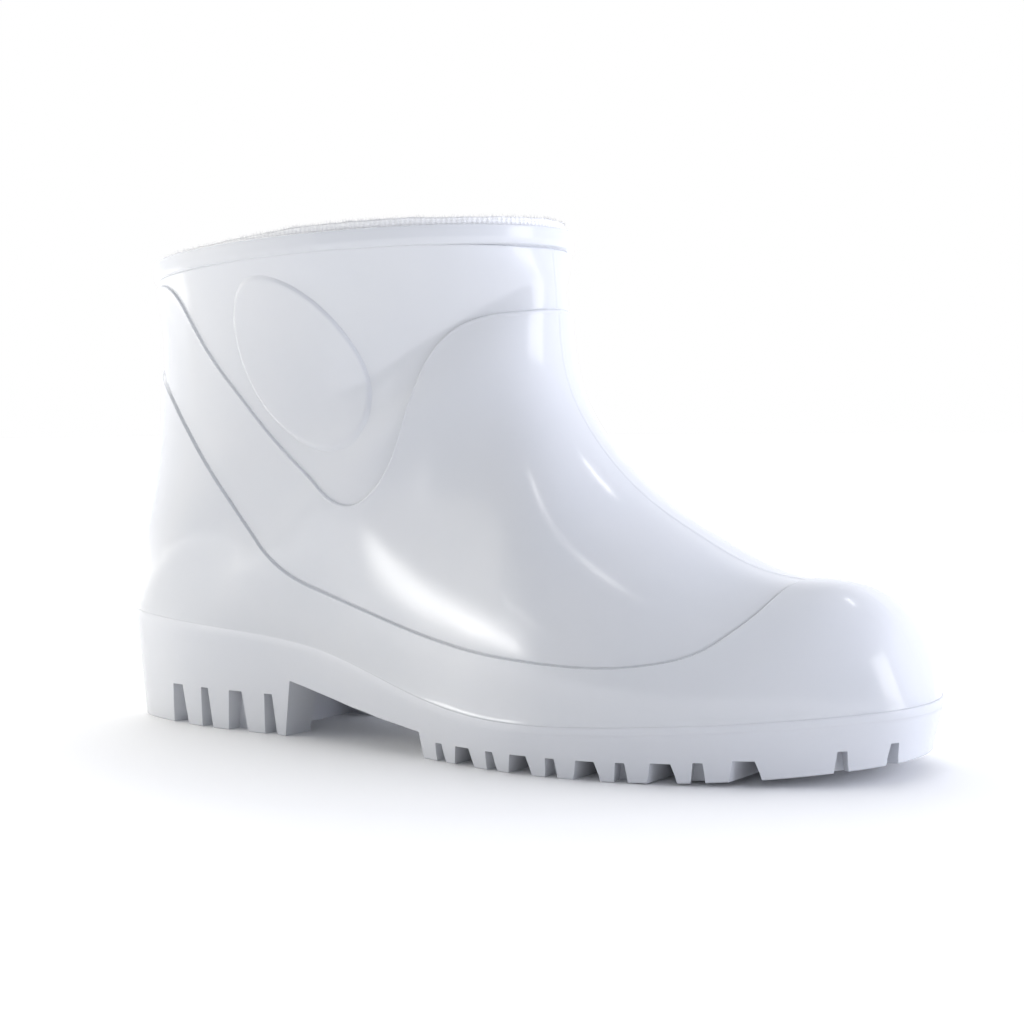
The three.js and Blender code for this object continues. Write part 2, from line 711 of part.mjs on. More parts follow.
// An oval ankle pad, as a thin disc sunk into the wall of the shaft panel
function anklePad(side) {
  const tilt = THREE.MathUtils.degToRad(PAD_TILT_DEG);
  const spot = (radius, turn, offset) => {
    const a = (PAD_LENGTH / 2) * radius * Math.cos(turn);
    const b = (PAD_WIDTH / 2) * radius * Math.sin(turn);
    const x = PAD_AHEAD + a * Math.cos(tilt) - b * Math.sin(tilt);
    const z = PAD_HEIGHT + a * Math.sin(tilt) + b * Math.cos(tilt);
    return onLast(x, z, side).addScaledVector(normalOf(x, z, side), offset);
  };
  const top = PANEL_OFFSET + PAD_STEP;
  const sunk = PANEL_OFFSET - PANEL_WALL / 2;
  const edge = 1 - (2 * STEP_SLOPE) / PAD_WIDTH;
  const rings = [[0.5, top], [edge, top], [1, sunk], [0.5, sunk]];
  const vertices = [spot(0, 0, top)];
  rings.forEach(([radius, offset]) => {
    for (let i = 0; i < PAD_SPOKES; i += 1) {
      vertices.push(spot(radius, (2 * Math.PI * i) / PAD_SPOKES, offset));
    }
  });
  vertices.push(spot(0, 0, sunk));
  const triangles = [];
  const turned = (a, b, c) => (side === OUTER ? triangles.push(a, b, c) : triangles.push(a, c, b));
  for (let i = 0; i < PAD_SPOKES; i += 1) {
    const j = (i + 1) % PAD_SPOKES;
    turned(0, 1 + i, 1 + j);
    for (let r = 0; r < rings.length - 1; r += 1) {
      const near = 1 + r * PAD_SPOKES;
      const far = near + PAD_SPOKES;
      turned(near + i, far + i, far + j);
      turned(near + i, far + j, near + j);
    }
    const lastRing = 1 + (rings.length - 1) * PAD_SPOKES;
    turned(vertices.length - 1, lastRing + j, lastRing + i);
  }
  return solid(vertices, triangles);
}

// The sole's outline as a closed loop of plan points with outward normals
function outlineLoop() {
  const plan = [];
  for (let i = 0; i < 2 * OUTLINE_STEPS; i += 1) {
    const side = i < OUTLINE_STEPS ? OUTER : INNER;
    const share = angleShare(i / OUTLINE_STEPS);
    const x = share * FOOT_LENGTH;
    plan.push(new THREE.Vector2(x, side * outlineHalfWidth(share, side) + swing(x)));
  }
  const count = plan.length;
  return plan.map((point, i) => {
    const along = plan[(i + 1) % count].clone().sub(plan[(i + count - 1) % count]).normalize();
    return { point, normal: new THREE.Vector2(along.y, -along.x) };
  });
}

const OUTLINE_LOOP = outlineLoop();

// Level of the sole's underside before the arch is cut, with the toe spring
function underside(x) {
  const ahead = Math.max(0, (x - SPRING_START) / (FOOT_LENGTH - SPRING_START));
  return TOE_SPRING * ahead * ahead;
}

// A level of a plate with the sole's outline: points drawn in by an inset, at a height over x
function plateLevel(inset, height) {
  return OUTLINE_LOOP.map(({ point, normal }) => {
    const amount = typeof inset === 'number' ? inset : inset(point.x);
    const place = point.clone().addScaledVector(normal, -amount);
    return new THREE.Vector3(place.x, place.y, height(place.x));
  });
}

// A plate through its levels, closed above and below by strips across the foot
function plate(levels) {
  const count = OUTLINE_LOOP.length;
  const triangles = [];
  for (let r = 0; r < levels.length - 1; r += 1) {
    for (let c = 0; c < count; c += 1) {
      const d = (c + 1) % count;
      const near = r * count;
      const far = near + count;
      triangles.push(near + c, near + d, far + d, near + c, far + d, far + c);
    }
  }
  const topStart = (levels.length - 1) * count;
  for (let c = 0; c < OUTLINE_STEPS; c += 1) {
    const mirror = (count - c) % count;
    const nextMirror = count - c - 1;
    [[0, false], [topStart, true]].forEach(([start, upward]) => {
      const strip = [[c, c + 1, nextMirror], [c, nextMirror, mirror]];
      strip.filter((face) => new Set(face).size === 3).forEach(([a, b, d]) => {
        triangles.push(start + a, start + (upward ? b : d), start + (upward ? d : b));
      });
    });
  }
  return solid(levels.flat(), triangles);
}

// A block that narrows upwards, for notches and grooves. Its foot is centred on the origin.
function taperedBlock(width, depth, height, narrowing) {
  const block = new THREE.BoxGeometry(width, depth, height);
  block.translate(0, 0, height / 2);
  const place = block.getAttribute('position');
  for (let i = 0; i < place.count; i += 1) {
    if (place.getZ(i) > height / 2) {
      place.setX(i, place.getX(i) * narrowing);
    }
  }
  return block;
}

// A three.js geometry of unshared faces as a solid
function solidOf(geometry) {
  const place = geometry.getAttribute('position');
  const order = geometry.index ? Array.from(geometry.index.array) : [...Array(place.count).keys()];
  const vertices = [];
  const found = new Map();
  const triangles = order.map((i) => {
    const point = new THREE.Vector3().fromBufferAttribute(place, i);
    const key = point.toArray().map((value) => value.toFixed(4)).join(' ');
    if (!found.has(key)) {
      found.set(key, vertices.length);
      vertices.push(point);
    }
    return found.get(key);
  });
  return solid(vertices, triangles);
}

// Where the outline passes a distance along the foot, on one side
function edgeAt(x, side) {
  const half = OUTLINE_LOOP.filter((spot, i) => (side === OUTER) === (i <= OUTLINE_STEPS));
  return half.reduce((best, spot) => (
    Math.abs(spot.point.x - x) < Math.abs(best.point.x - x) ? spot : best));
}

// A blind notch cut square into the side of the sole
function sideNotch(x, side, width, height, depth) {
  const across = 2 * (depth + SIDE_TAPER);
  const block = taperedBlock(width, across, height + CUTTER_REACH, GROOVE_NARROWING);
  const { normal } = edgeAt(x, side);
  const y = side * outlineHalfWidth(x / FOOT_LENGTH, side) + swing(x);
  block.rotateZ(Math.atan2(normal.y, normal.x) - Math.PI / 2);
  block.translate(x, y, underside(x) - CUTTER_REACH);
  return solidOf(block);
}

// A wide groove that runs right across the forepart
function throughGroove(x) {
  const height = GROOVE_HEIGHT + CUTTER_REACH;
  const block = taperedBlock(WIDE_GROOVE, 2 * BALL_WIDTH, height, GROOVE_NARROWING);
  block.translate(x, 0, underside(x) - CUTTER_REACH);
  return solidOf(block);
}

// The space under the waist, from the heel breast to the forepart
function archSpace() {
  const breastTop = HEEL_LENGTH + BREAST_LEAN;
  const shape = new THREE.Shape();
  shape.moveTo(HEEL_LENGTH - (BREAST_LEAN * CUTTER_REACH) / BREAST_HEIGHT, -CUTTER_REACH);
  ARCH.forEach(({ along, drop }) => {
    const x = THREE.MathUtils.lerp(breastTop, FOREPART_START - 1, along);
    shape.lineTo(x, THREE.MathUtils.lerp(BREAST_HEIGHT, ARCH_FRONT_HEIGHT, drop));
  });
  shape.lineTo(FOREPART_START, -CUTTER_REACH);
  shape.closePath();
  const geometry = new THREE.ExtrudeGeometry(shape, { depth: 2 * BALL_WIDTH, bevelEnabled: false });
  geometry.translate(0, 0, -BALL_WIDTH);
  geometry.rotateX(Math.PI / 2);
  return solidOf(geometry);
}

// The hollow in the middle of the heel breast, between two side pillars
function breastHollow() {
  const width = outlineHalfWidth(HEEL_LENGTH / FOOT_LENGTH, OUTER)
    + outlineHalfWidth(HEEL_LENGTH / FOOT_LENGTH, INNER) - 2 * BREAST_PILLAR;
  const height = BREAST_HEIGHT - BREAST_LEAN + CUTTER_REACH;
  const block = taperedBlock(2 * BREAST_HOLLOW_DEPTH, width, height, 1);
  block.translate(HEEL_LENGTH, 0, -CUTTER_REACH);
  return solidOf(block);
}

function outsoleSolid() {
  const wall = (share) => (x) => THREE.MathUtils.lerp(underside(x), soleLine(x) - RIB_HEIGHT, share);
  const rib = (x) => RIB_STEP * THREE.MathUtils.smoothstep(x, RIB_START, RIB_START + RIB_FADE);
  const ribOver = (x) => soleLine(x) - RIB_HEIGHT;
  let sole = plate([
    plateLevel(SIDE_TAPER + EDGE_ROUNDING, underside),
    plateLevel(SIDE_TAPER, (x) => underside(x) + EDGE_ROUNDING),
    plateLevel((x) => SIDE_TAPER / 2 + rib(x), wall(0.5)),
    plateLevel((x) => rib(x), (x) => ribOver(x) - RIB_STEP),
    plateLevel(0, ribOver),
    plateLevel(0, (x) => soleLine(x) - EDGE_ROUNDING),
    plateLevel(EDGE_ROUNDING, soleLine),
  ]);
  const cuts = [archSpace(), breastHollow()];
  for (let i = 0; i < GROOVE_COUNT; i += 1) {
    cuts.push(throughGroove(GROOVE_FIRST + i * GROOVE_PITCH));
  }
  [OUTER, INNER].forEach((side) => {
    for (let i = 0; i < HEEL_NOTCH_COUNT; i += 1) {
      const width = i % 2 === 0 ? HEEL_NOTCH_WIDE : HEEL_NOTCH_NARROW;
      const x = HEEL_NOTCH_FIRST + i * HEEL_NOTCH_PITCH;
      cuts.push(sideNotch(x, side, width, HEEL_NOTCH_HEIGHT, HEEL_NOTCH_DEPTH));
    }
    for (let i = 0; i < GROOVE_COUNT; i += 1) {
      const x = GROOVE_FIRST + (i - 0.5) * GROOVE_PITCH;
      cuts.push(sideNotch(x, side, NARROW_GROOVE, GROOVE_HEIGHT, NOTCH_DEPTH));
    }
    TOE_NOTCHES.forEach((share) => {
      const x = share * FOOT_LENGTH;
      cuts.push(sideNotch(x, side, NARROW_GROOVE, GROOVE_HEIGHT, NOTCH_DEPTH));
    });
  });
  cuts.forEach((cut) => {
    sole = sole.subtract(cut);
  });
  return sole;
}

function insoleSolid() {
  const inset = UPPER_INSET - INNER_OFFSET + INSOLE_CLEARANCE;
  const floor = (x) => soleLine(x) + SEAT_GAP;
  return plate([
    plateLevel(inset, floor),
    plateLevel(inset + INSOLE_BEVEL / 3, (x) => floor(x) + INSOLE_THICKNESS / 2),
    plateLevel(inset + INSOLE_BEVEL, (x) => floor(x) + INSOLE_THICKNESS),
  ]);
}

function upperSolid() {
  let upper = rowsToTube(upperRows());
  [OUTER, INNER].forEach((side) => {
    upper = upper.add(anklePad(side));
  });
  return upper;
}

// A named mesh with its own material from a solid
function meshOf(name, body, { color, roughness }) {
  const { vertProperties, triVerts } = body.getMesh();
  const geometry = new THREE.BufferGeometry();
  geometry.setAttribute('position', new THREE.BufferAttribute(vertProperties, 3));
  geometry.setIndex(new THREE.BufferAttribute(triVerts, 1));
  geometry.computeVertexNormals();
  const material = new THREE.MeshStandardMaterial({ color, roughness, metalness: 0 });
  const mesh = new THREE.Mesh(geometry, material);
  mesh.name = name;
  return mesh;
}

const boot = new THREE.Group();
boot.add(meshOf('outsole', outsoleSolid(), { color: 0xd9dbe2, roughness: 0.3 }));
boot.add(meshOf('upper', upperSolid(), { color: 0xe2e4ea, roughness: 0.18 }));
boot.add(meshOf('insole', insoleSolid(), { color: 0xc9ccd2, roughness: 0.9 }));

const bounds = new THREE.Box3().setFromObject(boot);
const middle = bounds.getCenter(new THREE.Vector3());
boot.position.set(-middle.x, -middle.y, -bounds.min.z);

export default boot;
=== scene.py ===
# %% [markdown]
# # A short moulded work boot
# The real boot is injection moulded in one go from glossy white PVC: a thin shell around a
# last, a foxing band with a toe cap, a recessed shaft panel with an oval pad over the ankle,
# a collar band, and a heeled sole with lugs. Inside it is a knitted lining and a loose insole.
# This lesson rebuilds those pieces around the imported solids, which give every place and size.

# %% Load the frame
import math

import bmesh
import bpy
import numpy as np
from mathutils import Matrix, Vector


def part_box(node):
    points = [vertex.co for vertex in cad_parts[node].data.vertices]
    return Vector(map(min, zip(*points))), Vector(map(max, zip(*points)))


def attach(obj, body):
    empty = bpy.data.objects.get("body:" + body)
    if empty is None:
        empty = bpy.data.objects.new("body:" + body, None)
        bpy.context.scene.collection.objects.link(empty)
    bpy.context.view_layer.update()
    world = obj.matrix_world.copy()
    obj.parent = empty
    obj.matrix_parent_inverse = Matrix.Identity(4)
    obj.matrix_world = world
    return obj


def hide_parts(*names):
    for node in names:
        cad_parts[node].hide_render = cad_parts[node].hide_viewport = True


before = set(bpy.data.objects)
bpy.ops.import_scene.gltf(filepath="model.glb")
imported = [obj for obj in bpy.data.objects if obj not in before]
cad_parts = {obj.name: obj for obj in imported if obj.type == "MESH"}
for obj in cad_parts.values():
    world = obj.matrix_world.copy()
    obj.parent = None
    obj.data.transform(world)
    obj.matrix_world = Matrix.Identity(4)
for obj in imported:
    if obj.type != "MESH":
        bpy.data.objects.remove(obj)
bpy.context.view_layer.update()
print("solids in the frame:", sorted(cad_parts))

# %% [markdown]
# ## The camera
# The photograph looks at the outer side of a right boot from ahead of the toe, almost at floor
# level. A long lens from about two boot lengths away keeps the toe only a little larger than
# the heel. Its numbers are set here at the start; the camera itself is made at the end.

# %% Places in the frame
outsole_low, outsole_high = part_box("outsole")
FOOT_LENGTH = outsole_high.x - outsole_low.x
BALL_WIDTH = 0.102
HEEL_X = outsole_low.x
CAMERA_AZIMUTH = math.radians(34.21)
CAMERA_PITCH = math.radians(2.64)
CAMERA_ROLL = math.radians(-0.45)
CAMERA_DISTANCE = 0.5986
CAMERA_TARGET = (0.1676, -0.0137, 0.0764)
FOCAL_PIXELS = 1875.95
IMAGE_PIXELS = 1024
SENSOR_WIDTH = 36.0

# %% [markdown]
# ## The last
# Every moulded surface of the boot lies on one last, the foot-shaped form it is made around.
# Subdividing a hand-pushed mesh could give the look, but its steps would drift off the solids.
# So the last is the same one that the solids use: a fan of girth sections that start on the
# sole line or the back line and end on the crest, each a squarish half oval over the side view.

# %% Tables of the last, as shares of the driving sizes
HEEL_SEAT_HEIGHT = 0.0395
BALL_SEAT_HEIGHT = 0.0162
TOE_RISE = 0.0064
TOE_BOX_HEIGHT = 0.0575
COLLAR_FRONT_HEIGHT = 0.161
COLLAR_BACK_HEIGHT = 0.1555
TOE_SWING = 0.008
SWING_START = 0.110
UPPER_INSET = 0.0015
SPAN = FOOT_LENGTH - 2 * UPPER_INSET
BACK_RISE = COLLAR_BACK_HEIGHT - HEEL_SEAT_HEIGHT
SHAFT_RISE = COLLAR_FRONT_HEIGHT - TOE_BOX_HEIGHT

# share of the length, outer and inner half width over the ball width
OUTLINE = np.array([
    (0.0, 0.0, 0.0), (0.02, 0.201, 0.201), (0.07, 0.282, 0.282), (0.15, 0.337, 0.337),
    (0.27, 0.346, 0.346), (0.36, 0.356, 0.333), (0.45, 0.402, 0.333), (0.55, 0.475, 0.373),
    (0.65, 0.522, 0.441), (0.72, 0.512, 0.485), (0.8, 0.466, 0.5), (0.87, 0.395, 0.48),
    (0.93, 0.304, 0.415), (0.97, 0.214, 0.3), (0.99, 0.139, 0.169), (1.0, 0.0, 0.0),
])
# share of the length, of the drop from heel seat to ball, of the toe rise
SOLE_LINE = np.array([
    (0.0, 1.0, 0.0), (0.12, 0.914, 0.0), (0.25, 0.807, 0.0), (0.36, 0.627, 0.0),
    (0.47, 0.283, 0.0), (0.58, 0.03, 0.0), (0.7, 0.0, 0.0), (0.82, 0.0, 0.328),
    (0.92, 0.0, 0.672), (1.0, 0.0, 1.0),
])
# share of the upper's length, of the toe box height, of the rise from toe box to collar
CREST = np.array([
    (1.0, 0.0, 0.0), (0.983, 0.441, 0.0), (0.961, 0.742, 0.0), (0.921, 0.951, 0.0),
    (0.872, 1.0, 0.0), (0.8165, 1.0, 0.036), (0.758, 1.0, 0.121), (0.692, 1.0, 0.242),
    (0.6347, 1.0, 0.413), (0.5997, 1.0, 0.604), (0.5916, 1.0, 0.797), (0.589, 1.0, 0.913),
    (0.5862, 1.0, 1.0),
])
# share of the back rise, and of the upper's length
BACK_LINE = np.array([
    (0.0, 0.0), (0.134, 0.0003), (0.306, 0.0125), (0.522, 0.026), (0.737, 0.0327),
    (0.909, 0.0306), (1.0, 0.0237),
])
# station (share of the length, or minus the share of the back rise), crest row, outer and inner
# bulge over the ball width, where it is widest, and how square it is below and above
SECTIONS = np.array([
    (1.0, 0.0, 0.0, 0.0, 0.1, 2.2, 2.3), (0.967, 2.1, 0.003, 0.003, 0.1, 2.2, 2.3),
    (0.9, 3.6, 0.008, 0.008, 0.1, 2.3, 2.3), (0.8, 5.4, 0.008, 0.008, 0.1, 2.2, 2.2),
    (0.683, 7.0, 0.0, 0.005, 0.12, 2.2, 2.15), (0.55, 8.3, 0.0, 0.029, 0.15, 2.2, 2.1),
    (0.4, 9.2, 0.044, 0.059, 0.18, 2.2, 2.1), (0.25, 10.0, 0.069, 0.069, 0.25, 2.2, 2.1),
    (0.1, 10.5, 0.067, 0.063, 0.35, 2.2, 2.1), (-0.086, 10.9, 0.067, 0.067, 0.42, 2.1, 2.1),
    (-0.448, 11.2, 0.078, 0.08, 0.48, 1.95, 2.15),
    (-0.81, 11.6, 0.12, 0.12, 0.5, 1.85, 2.15), (-1.0, 12.0, 0.176, 0.176, 0.52, 1.8, 2.05),
])
HEEL_WIDTH_STATION = 0.15
OUTER, INNER = -1, 1


# %% Smooth curves through the tables
def curve(knots, values):
    """A smooth cubic through the knots, which bends evenly where its pieces meet."""
    knots, values = np.asarray(knots, float), np.asarray(values, float)
    width = np.diff(knots)
    rate = np.diff(values) / width
    count = len(knots)
    system, load = np.zeros((count, count)), np.zeros(count)
    system[0, :2], load[0] = (2, 1), 3 * rate[0]
    system[-1, -2:], load[-1] = (1, 2), 3 * rate[-1]
    for i in range(1, count - 1):
        system[i, i - 1:i + 2] = width[i], 2 * (width[i] + width[i - 1]), width[i - 1]
        load[i] = 3 * (width[i] * rate[i - 1] + width[i - 1] * rate[i])
    slope = np.linalg.solve(system, load)

    def at(place):
        place = np.clip(place, knots[0], knots[-1])
        i = np.clip(np.searchsorted(knots, place, side="right") - 1, 0, count - 2)
        t = (place - knots[i]) / width[i]
        s = 1 - t
        from_values = values[i] * (1 + 2 * t) * s * s + values[i + 1] * t * t * (1 + 2 * s)
        return from_values + width[i] * t * s * (slope[i] * s - slope[i + 1] * t)

    return at


def angle_of(share):
    return np.arccos(np.clip(1 - 2 * np.asarray(share, float), -1, 1))


outline_curve = {
    OUTER: curve(angle_of(OUTLINE[:, 0]), OUTLINE[:, 1] * BALL_WIDTH),
    INNER: curve(angle_of(OUTLINE[:, 0]), OUTLINE[:, 2] * BALL_WIDTH),
}
sole_height = curve(
    SOLE_LINE[:, 0],
    BALL_SEAT_HEIGHT + SOLE_LINE[:, 1] * (HEEL_SEAT_HEIGHT - BALL_SEAT_HEIGHT)
    + SOLE_LINE[:, 2] * TOE_RISE,
)


def half_width(share, side):
    return outline_curve[side](angle_of(share))


def sole_line(x):
    return sole_height(np.asarray(x) / FOOT_LENGTH)


def swing(x):
    """How far the forefoot bends to the inner side."""
    ahead = np.clip((np.asarray(x) - SWING_START) / (FOOT_LENGTH - SWING_START), 0, None)
    return TOE_SWING * ahead * ahead


toe_line_height = sole_line(FOOT_LENGTH - UPPER_INSET)
crest_rows = np.arange(len(CREST))
crest_x = curve(crest_rows, UPPER_INSET + CREST[:, 0] * SPAN)
crest_z = curve(
    crest_rows,
    toe_line_height + CREST[:, 1] * (TOE_BOX_HEIGHT - toe_line_height) + CREST[:, 2] * SHAFT_RISE,
)
back_ahead = curve(BACK_LINE[:, 0], BACK_LINE[:, 1])


def back_point(up):
    return np.array([UPPER_INSET + back_ahead(up) * SPAN, HEEL_SEAT_HEIGHT + up * BACK_RISE])


# The frame's origin is under the middle of the boot, so its midline is found from the solid.
stations = np.linspace(0, 1, 601)
outer_reach = np.min(-half_width(stations, OUTER) + swing(stations * FOOT_LENGTH))
MIDLINE_Y = outsole_low.y - outer_reach
ORIGIN = np.array([HEEL_X, MIDLINE_Y, 0.0])
print("heel at x", round(HEEL_X, 4), "and midline at y", round(MIDLINE_Y, 4))

# %% [markdown]
# A point of the last is found from the side view. The section that passes through it is
# searched by halving, for thousands of points at once, and its half oval gives the width there.

# %% Points of the last
section_rows = np.arange(len(SECTIONS))
station_at = curve(section_rows, np.where(
    SECTIONS[:, 0] < 0, SECTIONS[:, 0] * BACK_RISE, SECTIONS[:, 0] * FOOT_LENGTH))
crest_row_at = curve(section_rows, SECTIONS[:, 1])
bulge_at = {
    OUTER: curve(section_rows, SECTIONS[:, 2] * BALL_WIDTH),
    INNER: curve(section_rows, SECTIONS[:, 3] * BALL_WIDTH),
}
fullest_at = curve(section_rows, SECTIONS[:, 4])
low_power_at = curve(section_rows, SECTIONS[:, 5])
high_power_at = curve(section_rows, SECTIONS[:, 6])
HALVINGS = 34
HAIRLINE = 1e-6


def section_ends(at):
    place = station_at(at)
    row = crest_row_at(at)
    foot_x = UPPER_INSET + np.clip(place, 0, None) / FOOT_LENGTH * SPAN
    back_x, back_z = back_point(np.clip(-place, 0, None) / BACK_RISE)
    bottom_x = np.where(place < 0, back_x, foot_x)
    bottom_z = np.where(place < 0, back_z, sole_line(foot_x))
    return bottom_x, bottom_z, crest_x(row), crest_z(row)


def section_through(x, z):
    low = np.full(np.shape(x), 0.001)
    high = np.full(np.shape(x), float(len(SECTIONS) - 1))
    for _ in range(HALVINGS):
        middle = (low + high) / 2
        x0, z0, x1, z1 = section_ends(middle)
        ahead = (x1 - x0) * (z - z0) - (z1 - z0) * (x - x0) > 0
        low = np.where(ahead, middle, low)
        high = np.where(ahead, high, middle)
    at = (low + high) / 2
    x0, z0, x1, z1 = section_ends(at)
    share = ((x - x0) * (x1 - x0) + (z - z0) * (z1 - z0)) / ((x1 - x0) ** 2 + (z1 - z0) ** 2)
    return at, share


def girth(at, share, side):
    """Half width of the last at a share of the way up one section."""
    place = station_at(at) / FOOT_LENGTH
    shrink = SPAN / FOOT_LENGTH
    base = np.where(place < 0, 0, half_width(np.clip(place, 0, 1), side) * shrink)
    widest = half_width(np.maximum(place, HEEL_WIDTH_STATION), side) * shrink + bulge_at[side](at)
    widest = np.maximum(widest, base + HAIRLINE)
    peak, low, high = fullest_at(at), low_power_at(at), high_power_at(at)
    start = (1 - (base / widest) ** low) ** (1 / low)
    down = np.clip(start * (1 - share / peak), 0, 1)
    up = np.clip((share - peak) / (1 - peak), 0, 1)
    below = widest * (1 - down ** low) ** (1 / low)
    above = widest * (1 - up ** high) ** (1 / high)
    return np.where(share < peak, below, above)


def on_last(x, z, side):
    at, share = section_through(x, z)
    return np.stack([x, side * girth(at, share, side) + swing(x), z], axis=-1)


# %% [markdown]
# ## The lines on the boot
# Three lines divide the upper: the feather edge where it meets the sole, the foxing line that is
# also the edge of the toe cap and the counter, and the V-shaped edge of the shaft panel. The
# mesh gets one ring of edges along each line, so that the moulded steps are crisp and smooth.

# %% Feature lines in the side view
FOXING_LINE = {
    "back_up": 0.763,
    "crest_row": 3.87,
    "points": [
        (0.109, 0.66), (0.148, 0.578), (0.208, 0.437), (0.252, 0.321), (0.296, 0.222),
        (0.327, 0.181), (0.374, 0.157), (0.437, 0.145), (0.501, 0.138), (0.575, 0.132),
        (0.642, 0.226), (0.7, 0.267), (0.75, 0.307), (0.793, 0.381), (0.829, 0.499),
        (0.851, 0.651), (0.867, 0.811),
    ],
    "stops": (0.193, 0.393, 0.667),
}
PANEL_LINE = {
    "back_up": 0.975,
    "crest_row": 10.05,
    "points": [
        (0.075, 0.975), (0.12, 0.97), (0.142, 0.945), (0.163, 0.89), (0.211, 0.749),
        (0.263, 0.624), (0.308, 0.516), (0.358, 0.429), (0.39, 0.388), (0.408, 0.386),
        (0.433, 0.423), (0.453, 0.489), (0.469, 0.603), (0.482, 0.716), (0.497, 0.78),
        (0.518, 0.823), (0.55, 0.848), (0.577, 0.855),
    ],
    "stops": (0.187, 0.35, 0.477),
}
COLUMN_STOPS = (0, 0.3, 0.5, 0.75, 1)
FEATHER_STOPS = (0.2, 0.433, 0.717)
LINE_SAMPLES = 480
END_PULL = 4
crowded = (1 - np.cos(np.pi * np.linspace(0, 1, LINE_SAMPLES + 1))) / 2

collar_back = back_point(1.0)
collar_front = np.array([crest_x(len(CREST) - 1), crest_z(len(CREST) - 1)])
fine_rows = np.linspace(0, len(CREST) - 1, 1200)
fine_crest = np.stack([crest_x(fine_rows), crest_z(fine_rows)], axis=-1)


def top_line(x):
    """Height of the boot's top over a point of the sole, on the collar or on the crest."""
    collar = np.interp(x, [collar_back[0], collar_front[0]], [collar_back[1], collar_front[1]])
    crest = np.interp(x, fine_crest[::-1, 0], fine_crest[::-1, 1])
    return np.where(x < collar_front[0], collar, crest)


def run_of(points):
    """Running length along the last axis but one of a net of points."""
    steps = np.linalg.norm(np.diff(points, axis=-2), axis=-1)
    start = np.zeros(steps.shape[:-1] + (1,))
    return np.concatenate([start, np.cumsum(steps, axis=-1)], axis=-1)


def feature_line(line):
    x = np.array([point[0] for point in line["points"]]) * FOOT_LENGTH
    rise = np.array([point[1] for point in line["points"]])
    z = sole_line(x) + rise * (top_line(x) - sole_line(x))
    end = np.array([crest_x(line["crest_row"]), crest_z(line["crest_row"])])
    knots = np.vstack([back_point(line["back_up"]), np.stack([x, z], axis=-1), end])
    run = run_of(knots)
    along_x, along_z = curve(run, knots[:, 0]), curve(run, knots[:, 1])
    return lambda share: np.stack([along_x(share * run[-1]), along_z(share * run[-1])], axis=-1)


def feather_line(share):
    x = UPPER_INSET + share * SPAN
    return np.stack([x, sole_line(x)], axis=-1)


def collar_line(share):
    return collar_back + np.multiply.outer(share, collar_front - collar_back)


def paced(line, stops):
    """The line with its columns spread by true length, passing the stops at the marked ones."""
    flats = line(crowded)
    run = run_of(on_last(flats[:, 0], flats[:, 1], OUTER))
    passed = [run[np.argmax(flats[:, 0] > stop * FOOT_LENGTH)] / run[-1] for stop in stops]
    pace = curve(COLUMN_STOPS, [0, *passed, 1])

    def at(share):
        wanted = pace(share) * run[-1]
        return np.stack([np.interp(wanted, run, flats[:, k]) for k in (0, 1)], axis=-1)

    return at


RINGS = [
    (paced(feather_line, FEATHER_STOPS), 0.0, 0.0),
    (paced(feature_line(FOXING_LINE), FOXING_LINE["stops"]), FOXING_LINE["back_up"],
     FOXING_LINE["crest_row"]),
    (paced(feature_line(PANEL_LINE), PANEL_LINE["stops"]), PANEL_LINE["back_up"],
     PANEL_LINE["crest_row"]),
    (paced(collar_line, PANEL_LINE["stops"]), 1.0, len(CREST) - 1.0),
]


def line_between(ring, share, u):
    """A side-view line between two rings, kept to the back line and the crest at its ends."""
    lower, lower_up, lower_row = RINGS[ring]
    upper, upper_up, upper_row = RINGS[ring + 1]
    row = lower_row + share * (upper_row - lower_row)
    back = back_point(lower_up + share * (upper_up - lower_up))
    front = np.array([crest_x(row), crest_z(row)])
    straight = lower(u) * (1 - share) + upper(u) * share
    to_back = np.outer((1 - u) ** END_PULL, back - straight[0])
    return straight + to_back + np.outer(u ** END_PULL, front - straight[-1])


# %% [markdown]
# Each row of the mesh is one closed loop around the boot. Its points are spread by their true
# distance over the surface, and a few extra columns sit tight beside the front and the back,
# where the real mould leaves a fine parting ridge.

# %% Rows around the last
SIDE_COLUMNS = 118
RIDGE_COLUMNS = (0.28, 0.6)


def column_shares():
    even = np.linspace(0, 1, SIDE_COLUMNS + 1)
    first = even[1]
    extra = [first * part for part in RIDGE_COLUMNS]
    return np.sort(np.concatenate([even, extra, [1 - part for part in extra]]))


COLUMN_SHARES = column_shares()
HALF = len(COLUMN_SHARES) - 1


def last_row(ring, share):
    flats = line_between(ring, share, crowded)
    beyond = section_through(flats[:, 0], flats[:, 1])[1] > 1
    beyond[0], beyond[-1] = False, True
    final = np.argmax(beyond)
    flats = np.vstack([flats[:final], flats[-1:]])
    halves = []
    for side in (OUTER, INNER):
        points = on_last(flats[:, 0], flats[:, 1], side)
        points[[0, -1], 1] = swing(points[[0, -1], 0])
        run = run_of(points)
        places = np.minimum(LINE_SAMPLES * angle_of(COLUMN_STOPS) / np.pi, final)
        marks = np.interp(places, np.arange(final + 1), run) / run[-1]
        marks[-1] = 1
        wanted = np.clip(curve(COLUMN_STOPS, marks)(COLUMN_SHARES), 0, 1) * run[-1]
        halves.append(np.stack([np.interp(wanted, run, points[:, k]) for k in range(3)], axis=-1))
    return np.vstack([halves[0][:-1], halves[1][:0:-1]])


def patch(ring, rows):
    return np.stack([last_row(ring, share) for share in np.linspace(0, 1, rows)])


PATCH_ROWS = 25
patches = [patch(ring, PATCH_ROWS) for ring in range(3)]
print("columns around the boot:", patches[0].shape[1])


# %% [markdown]
# Along each column the rows are then moved to real distances from the lines, so that a moulded
# step is equally wide all around, and the rest of the rows share what is left.

